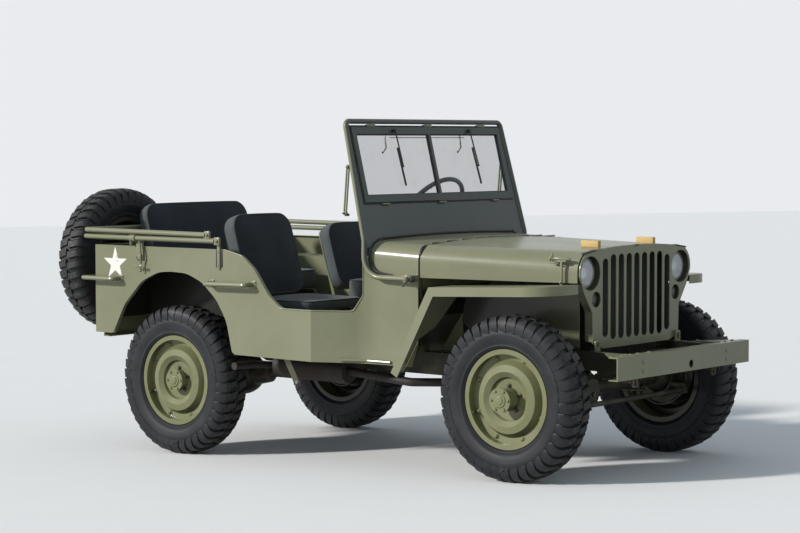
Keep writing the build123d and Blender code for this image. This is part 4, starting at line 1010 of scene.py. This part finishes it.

# %% [markdown]
# A pad is then remeshed, swelled and dressed. Faces that look sideways take the lighter canvas with painted
# light, and one level of subdivision rounds it off.


# %% A padded cushion
def seat_pad(name, node, body, size, corner, place, travel, voxel, rests):
    """A stuffed pad with seams. Its sides take the lighter canvas, painted with light as if sunlit."""
    bm = pad_box(*size, corner)
    bmesh.ops.scale(bm, vec=(0.001, 0.001, 0.001), verts=bm.verts[:])
    mesh = bpy.data.meshes.new(name)
    bm.to_mesh(mesh)
    bm.free()
    holder = bpy.data.objects.new(name, mesh)
    bpy.context.scene.collection.objects.link(holder)
    even = holder.modifiers.new("even", "REMESH")
    even.mode, even.voxel_size = "VOXEL", voxel / 1000
    mesh = evaluated(holder)
    bpy.data.objects.remove(holder)
    mesh = swell(mesh, size, corner, travel, rests)
    mesh.materials.clear()
    # Resting cushions take the light canvas all over; a back's faces take the dark canvas as painted shade,
    # its sides the light one as painted light
    for finish in (lit_canvas.material if rests else shaded_canvas.material, lit_canvas.material):
        mesh.materials.append(finish)
    for face in mesh.polygons:
        face.material_index = 1 if abs(face.normal.z) < 0.72 else 0
    mesh.transform(place @ Matrix.Scale(1000, 4))
    mesh.shade_smooth()
    made = bpy.data.objects.new(name, mesh)
    bpy.context.scene.collection.objects.link(made)
    finer = made.modifiers.new("finer", "SUBSURF")
    finer.levels = finer.render_levels = 1
    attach(made, body)
    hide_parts(node)
    print(name, "faces:", len(mesh.polygons))
    return made


print("pads ready")

# %% [markdown]
# Piping is a thin tube sewn into the seam. It runs round each face of the pad, a little inside the edge.


# %% Piping
def seam_loop(bm, size, corner, z, place):
    """Points of the seam round a pad's face, a little inside its outline."""
    half_x, half_y, corner = size[0] / 2 - PIPING_IN, size[1] / 2 - PIPING_IN, corner - PIPING_IN
    points = []
    for sx, sy, start in ((1, 1, 0), (-1, 1, 90), (-1, -1, 180), (1, -1, 270)):
        for step in range(5):
            angle = radians(start + step * 22.5)
            points.append(place @ Vector((sx * (half_x - corner) + corner * cos(angle),
                                          sy * (half_y - corner) + corner * sin(angle), z)))
    bent_tube(bm, points, PIPING, closed=True, sides=1)


print("piping radius, mm:", PIPING)

# %% [markdown]
# Each seat has a cushion and a back. The cushion lies flat on its rail. The back is the same slab stood
# up and leaned, so its place is built from the foot of its front face, the lean, and a quarter turn that
# points its face forwards. Piping covers the seams, after the swelling, because remeshing would lose it.

# %% The six pads
# Voxels of the even mesh, in millimetres, on a seat and on the wide bench
SEAT_VOXEL, BENCH_VOXEL, BENCH_WIDTH = 7.5, 9.0, 600
# Columns: name, node, body, length along the car, width, thickness, middle x, y, z of a cushion
CUSHIONS = [("passenger_cushion", "passenger_seat_pads", "passenger_seat", 390, 426, 50, -441, -363, 736),
            ("driver_cushion", "driver_seat_pads", "car", 404, 426, 104, -434, 363, 763),
            ("rear_cushion", "rear_seat_pads", "car", 392, 850, 98, -1240, 0, 793)]
# Columns: name, node, body, tall, width, thickness, x of the front's foot, lowest z, lean in degrees,
# depth and rise that set the pad's middle, middle y
BACKS = [("passenger_back", "passenger_seat_pads", "passenger_seat", 414, 424, 72, -618, 772, 17, 88, 403,
          -363),
         ("driver_back", "driver_seat_pads", "car", 350, 424, 66, -652, 771, 17, 82, 341, 363),
         ("rear_back", "rear_seat_pads", "car", 316, 766, 58, -1456, 900, 17, 62, 308, 0)]


def upholster(name, node, body, size, corner, stand, travel, piping, rests=False):
    """One pad, with piping round the seams of both its faces."""
    voxel = SEAT_VOXEL if size[1] < BENCH_WIDTH else BENCH_VOXEL
    seat_pad(name, node, body, size, corner, ON_BODY @ stand, travel, voxel, rests)
    shape = bmesh.new()
    for z in (size[2] / 2 - PIPING_IN, PIPING_IN - size[2] / 2):
        seam_loop(shape, size, corner, z, stand)
    piece(name + "_piping", shape, piping, body)


for name, node, body, length, width, thick, x, y, z in CUSHIONS:
    upholster(name, node, body, (length, width, thick), 60, Matrix.Translation((x, y, z)), 0.018,
              shaded_canvas.material, rests=True)
for name, node, body, tall, width, thick, foot, low, lean, depth, rise, y in BACKS:
    middle = Matrix.Translation((-depth / 2, y, rise / cos(radians(lean)) / 2))
    stand = (Matrix.Translation((foot, 0, low)) @ Matrix.Rotation(radians(-lean), 4, "Y") @ middle
             @ Matrix.Rotation(pi / 2, 4, "Y"))
    upholster(name, node, body, (tall, width, thick), 80, stand, 0.014, lit_canvas.material)

# %% [markdown]
# The front seat's frame is one bent tube with two short rear legs, and the bench's frame hides its hoop
# inside the back. Both are drawn a little differently from the plain frame, to stand inside these pads.

# %% Seat tubes
TUBE, SEAT_IN, SEAT_OUT, SEAT_RAIL_Z = 11, 190, 455, 694
BENCH_HALF, BENCH_RAIL_Z, HOOP_X, HOOP_Z = 430, 724, -1556, 1125
tubes = bmesh.new()
side_line = [(-215, 542), (-215, SEAT_RAIL_Z), (-727.3, SEAT_RAIL_Z), (-836.7, 1052)]
hoop = [(x, SEAT_IN, z) for x, z in side_line] + [(x, SEAT_OUT, z) for x, z in side_line[::-1]]
bent_tube(tubes, hoop, TUBE, bend=48)
for y in (SEAT_IN, SEAT_OUT):
    bar(tubes, (-620, y, SEAT_RAIL_Z), (-628, y, 543), 10)
bar(tubes, (-245, SEAT_IN, SEAT_RAIL_Z), (-245, SEAT_OUT, SEAT_RAIL_Z), 10)
bench_line = [(-1080, BENCH_HALF, 641), (-1080, BENCH_HALF, BENCH_RAIL_Z), (-1434, BENCH_HALF, BENCH_RAIL_Z),
              (-1484, 370, 888), (HOOP_X, 370, HOOP_Z), (HOOP_X, 300, HOOP_Z)]
for side in (-1, 1):
    bent_tube(tubes, [(x, side * y, z) for x, y, z in bench_line], TUBE, bend=36)
    bar(tubes, (-1430, side * BENCH_HALF, BENCH_RAIL_Z), (-1430, side * BENCH_HALF, 641), 10)
bar(tubes, (HOOP_X, -302, HOOP_Z), (HOOP_X, 302, HOOP_Z), TUBE)
made = piece("seat_tubes", tubes, body_paint)
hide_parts("seat_frames")

# %% [markdown]
# ## Windshield
# The glass frame is held in its outer frame by a black rubber strip, and another strip seals the foot of
# the panel to the cowl. A point of the windshield is written by its side position and its height, and a
# function finds where the leaning plane has it.

# %% Windshield seals
SCREEN_LEAN = radians(14.2)
SCREEN_FOOT = Vector((155, 0, 1062))
# Heights of the panes' edges and of the glass frame's edges, and half of the frame's width
PANE_LOW, PANE_HIGH, SASH_LOW, SASH_HIGH, SASH_HALF = 1271, 1556, 1233, 1595, 584


def on_screen(y, z, out=0.0):
    """A point of the windshield's plane at a height, moved out along its face."""
    back = (z - SCREEN_FOOT.z) * tan(SCREEN_LEAN)
    return Vector((SCREEN_FOOT.x - back + out * cos(SCREEN_LEAN), y, z + out * sin(SCREEN_LEAN)))


seals = bmesh.new()
for side in (-1, 1):
    near, far = side * 9, side * 549
    for out in (5.5, -5.5):
        ring = [on_screen(near, PANE_LOW, out), on_screen(far, PANE_LOW, out), on_screen(far, PANE_HIGH, out),
                on_screen(near, PANE_HIGH, out)]
        for first, second in zip(ring, ring[1:] + ring[:1]):
            bar(seals, first, second, 3.2, sides=8, edge=0)
for z in (SASH_LOW, SASH_HIGH):
    bar(seals, on_screen(-SASH_HALF, z, 1), on_screen(SASH_HALF, z, 1), 4.5, sides=8, edge=0)
for y in (2 - SASH_HALF, SASH_HALF - 2):
    bar(seals, on_screen(y, SASH_LOW, 1), on_screen(y, SASH_HIGH, 1), 4.2, sides=8, edge=0)
piece("glass_seals", seals, black_rubber.material, "windshield")

# %% [markdown]
# Slotted arms at each side hold the frame open by a wing nut, and small hinges carry it at its edges. The
# wiper motors sit inside at the top with their hand levers, and a thin rod couples them.

# %% Arms, hinges and wiper motors
arms = bmesh.new()
for side in (-1, 1):
    y = side * 588
    top, foot = Vector((30, y, 1406)), Vector((12, y, 1184))
    for apart in (-6.5, 6.5):
        bent_tube(arms, [top + Vector((apart, side * 12, 0)), foot + Vector((apart, side * 12, 12))], 4.4)
    bar(arms, on_screen(side * 575, 1400, -8), top + Vector((0, side * 18, 4)), 6)
    bar(arms, foot + Vector((0, side * 2, 4)), foot + Vector((0, side * 20, 4)), 8)
    nut(arms, top + Vector((0, side * 14, 0)), (0, side, 0), 16, 8)
    block(arms, foot + Vector((-13, side * 18 - 2, 0)), foot + Vector((13, side * 18 + 2, 9)), 1.5)
    block(arms, foot + Vector((-7, -12, -9)), foot + Vector((7, 12, 3)), 2)
for y in (-430, 0, 430):
    for z, out in ((1599, -4), (1228, 8)):
        bar(arms, on_screen(y - 26, z, out), on_screen(y + 26, z, out), 5.5)
    block(arms, on_screen(y - 30, 1592, 8), on_screen(y + 30, 1606, 12), 1)
piece("screen_arms", arms, body_paint, "windshield")

motors = bmesh.new()
for y in (-276, 310):
    block(motors, on_screen(y - 34, 1570, -44), on_screen(y + 24, 1602, -12), 5)
    bar(motors, on_screen(y, 1571, -10), on_screen(y, 1571, 10), 6)
    bar(motors, on_screen(y - 18, 1572, -30), on_screen(y - 22, 1500, -34), 4)
    bar(motors, on_screen(y - 22, 1502, -34), on_screen(y - 38, 1482, -44), 3.4)
    dome(motors, on_screen(y - 38, 1482, -46), BACK, 6, 5)
bar(motors, on_screen(-276, 1546, -18), on_screen(310, 1546, -18), 2)
piece("wiper_motors", motors, bare_steel, "windshield")

# %% [markdown]
# A black strip fills the crescent between the cowl and the bent side tubes of the windshield, where it is
# painted shadow of the tubes, and one lies behind the gap between hood and cowl. The tube ends in a fork on
# the pivot pin, held by a nut with a small lever.

# %% Cowl strip and pivot nuts
HOOD_GAP_X = 439
PIVOT_X, PIVOT_Z = 428, 898
# Points of a black strip that is painted shadow of the windshield's bent tubes on the cowl
TUBE_SHADOW_LINE = [(172, 500, 1076), (168, 560, 1058), (166, 597, 1020), (168, 608, 980), (190, 611, 935),
            (232, 611, 915), (300, 606, 908)]
GAP_LINE = [(-570, 806), (-570, 1044), (0, 1060), (570, 1044), (570, 806)]
strip, forks, strap = shapes(3)
for side in (-1, 1):
    bent_tube(strip, [(x, side * y, z) for x, y, z in TUBE_SHADOW_LINE], 6.0)
bent_tube(strip, [(170, y, 1084 - 0.00004 * y * y) for y in (-500, -250, 0, 250, 500)], 5.5)
bent_tube(strip, [(HOOD_GAP_X, y, z) for y, z in GAP_LINE], 6.0, bend=80)
piece("cowl_seal", strip, black_rubber.material)
for side in (-1, 1):
    nut(forks, (PIVOT_X, side * 649, PIVOT_Z), (0, side, 0), 20, 9)
    bar(forks, (PIVOT_X, side * 652, PIVOT_Z), (404, side * 656, 868), 4)
    dome(forks, (404, side * 656, 868), (0, side, 0), 7, 5)
    block(strap, (394, side * 632 - 15, 880), (424, side * 632 + 15, 916), 4)
    for x in (402, 416):
        dome(strap, (x, side * 647, 892), (0, side, 0), 4, 3)
piece("pivot_nuts", forks, dark_steel)
piece("pivot_forks", strap, body_paint, "windshield")

# %% [markdown]
# ## Hood
# A spring catch on each side holds the hood down. It is a sprung barrel with a cross bar that hooks over a
# horn on the hood, and its strap runs down to the fender.

# %% Hood catches
barrels, straps = shapes(2)
bar(barrels, (1110, -487, 1010), (1196, -478, 1007), 8.5)
bar(barrels, (1104, -488, 1010), (1112, -487, 1010), 13, sides=16)
bar(barrels, (1190, -479, 1007), (1204, -478, 1007), 6)
bar(barrels, (1117, -492, 1032), (1117, -492, 988), 4.5)
bar(barrels, (1108, -494, 992), (1150, -490, 988), 3.6)
block(barrels, (1130, -489, 994), (1186, -474, 1003), 2)
block(straps, (1158, -492, 884), (1168, -483, 996), 2)
bar(straps, (1150, -490, 998), (1180, -484, 997), 5)
block(straps, (1146, -492, 876), (1182, -476, 886), 2)
nut(straps, (1163, -492, 905), TO_RIGHT, 11, 6)
piece("catch_barrels", barrels, body_paint, "hood", both=True)
piece("catch_straps", straps, body_paint, "hood", both=True)

# %% [markdown]
# A long hinge joins hood and cowl, and rubber pads on the grille's shoulders carry the hood's front edge.
# Two wood slats are the folded windshield's rest.

# %% Hood hinge, pads and slats
hinge, pads, slats, screws = shapes(4)
for i in range(9):
    y = (i - 4) * 110
    z = 1071.5 - 22 * (y / 579) ** 2
    bar(hinge, (HOOD_GAP_X, y - 52, z - 0.5), (HOOD_GAP_X, y + 52, z - 0.5), 3.8, sides=12, edge=0.4)
piece("hood_hinge_barrel", hinge, body_paint)
for y, z, half, slope in ((-376, 1035.5, 44, 8), (0, 1053, 11, 0), (376, 1035.5, 44, -8)):
    tilt = Matrix.Rotation(radians(slope), 4, "X")
    block(pads, (1222, y - half, z - 3), (1242.5, y + half, z + 4), 1.5, tilt)
piece("hood_rest_pads", pads, black_rubber.material)
for side in (-1, 1):
    block(slats, (1094, side * 226 - 11, 1050), (1187, side * 226 + 11, 1080), 1.5)
    for x in (1112, 1169):
        dome(screws, (x, side * 226, 1079.8), UP, 5, 1.5)
made = piece("hood_slats", slats, wood.material, "hood")
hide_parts("hood_blocks")
piece("slat_screws", screws, bare_steel, "hood")

# %% [markdown]
# ## Body sides
# A plain white star marks each rear quarter. It starts as a ten-sided disc, and every second point is
# drawn in to the star's inner circle, so its arms come out straight. It is a paint-thin plate.

# %% Stars
STAR_RADIUS, STAR_WAIST, STAR_SPOT = 87, 0.382, (-1408, 725.2, 909)
stars = bmesh.new()
for side in (-1, 1):
    made = bmesh.ops.create_circle(stars, cap_ends=True, segments=10, radius=STAR_RADIUS)
    for i, v in enumerate(made["verts"]):
        if i % 2:
            v.co *= STAR_WAIST
    disc = list({f for v in made["verts"] for f in v.link_faces})
    slab = bmesh.ops.extrude_face_region(stars, geom=disc)["geom"]
    raised = [g for g in slab if isinstance(g, bmesh.types.BMVert)]
    bmesh.ops.translate(stars, vec=(0, 0, 0.6), verts=raised)
    turn = Matrix.Rotation(radians(90 * side), 4, "X") @ Matrix.Rotation(pi if side < 0 else 0, 4, "Z")
    x, y, z = STAR_SPOT
    bmesh.ops.transform(stars, verts=list(set(raised) | set(made["verts"])),
                        matrix=Matrix.Translation((x, side * y, z)) @ turn)
piece("side_stars", stars, white_paint.material, sharp=20)

# %% [markdown]
# The door opening has no door, so its edge is rolled over a wire and shows as a thin round bead that
# follows the opening from the seat to the cowl. Below it a small foot ledge runs under the cowl's side.

# %% Rolled door edge and foot ledge
DOOR_EDGE = [(-652, -725, 1002), (-535, -725, 976), (-453, -725, 911), (-361, -725, 791), (-285, -725, 734),
             (-95, -725, 734), (88, -634.6, 734), (133, -614.4, 810), (133, -614.4, 992)]
FOOT_LEDGE = [(40, -664, 506), (150, -609, 506), (285, -600, 505)]
beads = bmesh.new()
bent_tube(beads, DOOR_EDGE, 3.5, bend=26, sides=2)
bent_tube(beads, FOOT_LEDGE, 7, bend=20)
piece("side_beads", beads, body_paint, both=True)

# %% [markdown]
# The grab handles end in plates, each held by two bolts. The folded top bows end in flattened forks, rest
# in a strap and are clamped by a hook with a wing nut. These fittings are small blocks, bars and nuts.

# %% Handles, plates and bow fittings
BOW_Y = 747
GRIPS = [([(-736, -724, 836), (-736, -777, 836), (-467, -777, 840), (-467, -724, 840)], 11.5, 34),
         ([(-1375, -724, 835), (-1375, -775, 835), (-1600, -775, 835), (-1600, -640, 835),
           (-1549, -640, 835)], 11, 42)]
grips, plates, fittings, wings, strap_shadows, bows = shapes(6)
for points, radius, bend in GRIPS:
    bent_tube(grips, points, radius, bend=bend)
for x, z in ((-738, 836), (-465, 840), (-1375, 835)):
    block(plates, (x - 24, -729, z - 19), (x + 24, -724.5, z + 19), 3)
    for dx in (-17, 17):
        for dz in (12, -12):
            dome(plates, (x + dx, -729, z + dz), TO_RIGHT, 5, 4)
block(plates, (-1557, -664, 816), (-1552, -616, 854), 3)
for front_end, z, rear_end, rear_z in ((-752, 1071, -1612, 1077), (-690, 1043, -1618, 1044)):
    bent_tube(bows, [(front_end, -BOW_Y, z), (rear_end, -BOW_Y, rear_z), (rear_end, BOW_Y, rear_z),
                     (front_end, BOW_Y, z)], 13, bend=88, sides=5)
block(fittings, (-691, -733, 905), (-674, -725, 1030), 1.5)
# Dark strips either side of the bow strap are painted shadow
for x in (-700, -664):
    block(strap_shadows, (x - 4.5, -726.4, 915), (x + 4.5, -724.4, 1001), 0.5)
for x, z in ((-744, 1071), (-678, 1043)):
    block(fittings, (x - 16, -755, z - 19), (x + 22, -741, z + 19), 5)
    nut(fittings, (x + 8, -755, z), TO_RIGHT, 13, 6)
turned(fittings, [(13.5, -22), (13.5, 22), (18.5, 20), (18.5, -20)], (-1254, -BOW_Y, 1043), AHEAD, steps=32)
block(fittings, (-1250, -734, 932), (-1200, -726, 1030), 3)
block(fittings, (-1246, -741, 936), (-1206, -728, 962), 3)
HOOK = [(-1214, -744, 1030), (-1204, -748, 990), (-1200, -750, 950), (-1206, -742, 916)]
bent_tube(fittings, HOOK, 5, bend=14)
bar(wings, (-1210, -738, 904), (-1210, -764, 904), 6)
block(wings, (-1238, -762, 897), (-1182, -756, 911), 3)
bar(wings, (-1206, -744, 912), (-1206, -744, 880), 4)
dome(wings, (-1206, -744, 880), DOWN, 6, 5)
nut(wings, (-1240, -734, 948), TO_RIGHT, 13, 7)
bar(wings, (-1272, -746, 1030), (-1272, -746, 1008), 7)
for z in (925, 990):
    dome(wings, (-682.5, -733, z), TO_RIGHT, 5, 3)
made = piece("grab_grips", grips, body_paint, both=True)
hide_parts("grab_handles")
made = piece("bow_tubes", bows, body_paint)
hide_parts("top_bows")
piece("strap_shadow_strips", strap_shadows, black_rubber.material, both=True)
for name, shape in (("handle_plates", plates), ("bow_fittings", fittings), ("bow_wing_nuts", wings)):
    piece(name, shape, body_paint, both=True)

# %% [markdown]
# ## Steering wheel, dash and controls
# The steering wheel is hard black plastic on a steel core with a horn button, and ribs under the rim for
# the fingers. Its middle and its column's slope are written once, and all that turns is placed by them.

# %% Steering wheel boss and grips
RAKE = radians(36)
WHEEL_MIDDLE = Vector((-240, 355, 1158))
column_line = Vector((cos(RAKE), 0, -sin(RAKE)))
face_turn = Matrix.Translation(WHEEL_MIDDLE) @ (-column_line).to_track_quat("Z", "Y").to_matrix().to_4x4()
boss = bmesh.new()
button = [(0, 17), (17, 16), (21, 12), (21, 8), (24, 7), (30, 7), (36, 3), (39, -6), (38, -30), (34, -34),
          (0, -34)]
turned(boss, button, WHEEL_MIDDLE, -column_line, closed=False)
for i in range(40):
    angle = radians(9 * i)
    spot = face_turn @ Vector((216 * cos(angle), 216 * sin(angle), -9.5))
    bmesh.ops.create_icosphere(boss, subdivisions=1, radius=6.5, matrix=Matrix.Translation(spot))
piece("steering_boss", boss, plastic, "steering_wheel_body")

# %% [markdown]
# Five round dials sit in the dash, one large and four small, with pale marks under their glass. Pull
# switches stand beside them, and the glovebox has a knob.

# %% Dash dials, switches and glovebox knob
rings, faces, knobs = shapes(3)
DIALS = [(0, 985, 48), (-92, 1008, 27), (92, 1008, 27), (-92, 946, 27), (92, 946, 27)]
for y, z, r in DIALS:
    bezel = [(r, 0), (r + 4, -1), (r + 4, -5), (r, -7), (r - 3, -5), (r - 3, 0)]
    turned(rings, bezel, (186, y, z), AHEAD)
    bar(faces, (184, y, z), (186.2, y, z), r - 2, sides=32, edge=0)
for y, z in ((165, 1000), (165, 960), (210, 1000), (210, 960), (255, 985)):
    bar(knobs, (186, y, z), (168, y, z), 5)
    dome(knobs, (168, y, z), BACK, 11, 7)
dome(knobs, (178, -410, 1000), BACK, 10, 9)
piece("dial_rings", rings, plastic)
dial = Finish("dial_face", Coat_Weight=0.6)
marks = dial.ease(dial.node("ShaderNodeTexVoronoi", {}, {"Vector": dial.place(), "Scale": 130.0}), 0.18, 0.1)
dial.wear(Base_Color=dial.mix(marks * 0.8, (0.012, 0.012, 0.012), (0.6, 0.58, 0.5)),
          Roughness=0.3 + 0.1 * marks)
piece("dial_faces", faces, dial.material)
piece("dash_knobs", knobs, plastic)

# %% [markdown]
# The gear lever and the two levers of the transfer case come out of the tunnel through rubber boots. The
# hand brake hangs under the dash, and two round pedals and a long one stand on the driver's floor.

# %% Levers and pedals
levers, knobs, pedals = shapes(3)
# Columns: foot, bend and top of the lever, radius of its ball
LEVERS = [((128, 60, 716), (92, 57, 850), (-38, 62, 968), 20),
          ((10, -90, 627), (6, -92, 800), (-36, -92, 886), 14),
          ((10, -132, 627), (6, -132, 800), (-30, -132, 880), 14)]
BOOT = [(20, -2), (20, 4), (16, 12), (12, 24), (8, 28), (0, 28), (0, -2)]
for foot, bend, top, ball in LEVERS:
    bent_tube(levers, [foot, bend, top], 7, bend=60)
    turned(levers, BOOT, foot, UP, steps=24)
    bmesh.ops.create_uvsphere(knobs, u_segments=24, v_segments=12, radius=ball,
                              matrix=Matrix.Translation(top))
bent_tube(levers, [(176, 100, 900), (150, 100, 900), (60, 100, 892)], 8, bend=10)
bar(knobs, (62, 100, 892), (30, 100, 888), 13)
for y in (300, 410):
    bent_tube(pedals, [(330, y, 560), (305, y, 640), (262, y, 700)], 9, bend=24)
    bar(pedals, (266, y, 690), (248, y, 716), 36, tip=33, sides=32, edge=3)
block(pedals, (300, 455, 610), (312, 495, 720), 3, Matrix.Rotation(radians(-32), 4, "Y"))
piece("hand_levers", levers, dark_steel)
piece("lever_knobs", knobs, plastic)
piece("foot_pedals", pedals, dark_steel)

# %% [markdown]
# ## Front and underside
# Bolt heads and a flat gusset hold the bumper on the frame's front ends, and a lifting shackle hangs under
# it on each side. Under the door opening a strap carries the exhaust.

# %% Bumper bolts, shackles and exhaust hanger
front, hooks, hanger = shapes(3)
SHACKLE_X, SHACKLE_Z = 1445, 505
for y in (-463, -400, -340, -250):
    dome(front, (1466, y, 598.3), UP, 9, 5)
for z in (526, 566):
    dome(front, (1503, -350, z), AHEAD, 11, 5)
for shape, x, y, foot, top in ((front, 1250, -333, 594, 638), (hooks, SHACKLE_X, -330, 520, 452)):
    bent_tube(shape, [(x, y - 14, foot), (x, y - 14, top), (x, y + 14, top), (x, y + 14, foot)], 6.5, bend=10)
nut(front, (1250, -333, 595), UP, 18, 9)
bar(hooks, (SHACKLE_X, -358, SHACKLE_Z), (SHACKLE_X, -302, SHACKLE_Z), 8)
nut(hooks, (SHACKLE_X, -352, SHACKLE_Z), TO_RIGHT, 16, 8)
for corner_x, corner_y in ((1322, -392), (1440, -392), (1440, -508)):
    dome(front, (corner_x, corner_y, 597), UP, 7, 4)
gusset = bmesh.ops.create_circle(front, cap_ends=True, segments=3, radius=1)["verts"]
for v, spot in zip(gusset, ((1306, -369), (1457, -369), (1457, -545))):
    v.co = (*spot, 592)
sheet = bmesh.ops.extrude_face_region(front, geom=list(gusset[0].link_faces))["geom"]
bmesh.ops.translate(front, vec=(0, 0, 5), verts=[g for g in sheet if isinstance(g, bmesh.types.BMVert)])
piece("front_bolts", front, body_paint, both=True)
piece("front_shackles", hooks, chassis_paint, both=True)
along_strap = from_to((-280, -690, 496), (-292, -603, 372)) @ Matrix.Translation((0, 0, 75))
bmesh.ops.create_cube(hanger, size=1, matrix=along_strap @ Matrix.Diagonal((34, 3, 152, 1)))
bar(hanger, (-288, -596, 374), (-288, -612, 374), 8)
piece("exhaust_hanger", hanger, body_paint)

# %% [markdown]
# U-bolts clamp the springs to the axles, pins run through the spring eyes, and bolts ring the covers of the
# differentials. The clamps and the cover bolts belong to the level axles, so they take the ground's matrix.

# %% Spring clips, pins and cover bolts
AXLE_X, AXLE_Z, DIFFERENTIAL_Y = 1016, 368, -190
COVER_BOLTS, COVER_RING = 10, 84
clips, pins, covers = shapes(3)
for way in (1, -1):
    x = way * AXLE_X
    for dx in (-34, 34):
        spot = x + dx + 11 * way
        bent_tube(clips, [(spot, -323, 300), (spot, -323, 478), (spot, -375, 478), (spot, -375, 300)], 5.5,
                  bend=12)
        for y in (-323, -375):
            nut(clips, (spot, y, 318), DOWN, 14, 9)
    block(clips, (x - 50, -384, 318), (x + 50, -314, 326), 3)
    for i in range(COVER_BOLTS):
        angle = 2 * pi * i / COVER_BOLTS
        y, z = DIFFERENTIAL_Y + COVER_RING * sin(angle), AXLE_Z + COVER_RING * cos(angle)
        nut(covers, (x + way * 108, y, z), (way, 0, 0), 11, 6)
    bar(covers, (x + way * 124, DIFFERENTIAL_Y, 350), (x + way * 134, DIFFERENTIAL_Y, 350), 12, sides=4)
for x, z in ((1430, 490), (575, 418), (-560, 418), (-1470, 466)):
    bar(pins, (x, -318, z), (x, -380, z), 9)
    bar(pins, (x, -326, z), (x, -372, z), 15)
    nut(pins, (x, -379, z), TO_RIGHT, 16, 8)
piece("spring_clips", clips, chassis_paint, place=ON_GROUND @ Matrix.Translation((-10, 0, 0)), both=True)
piece("spring_pins", pins, chassis_paint, both=True)
piece("cover_bolts", covers, chassis_paint, place=ON_GROUND)

# %% [markdown]
# ## Sizes and the end
# The drawn box from the start and the box of all that now shows are printed side by side.

# %% Sizes
dressed_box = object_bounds()
boxes = {"drawn": [list(corner) for corner in drawn_box], "dressed": [list(corner) for corner in dressed_box]}
for name, (low, high) in boxes.items():
    print(name, [round(b - a, 4) for a, b in zip(low, high)])
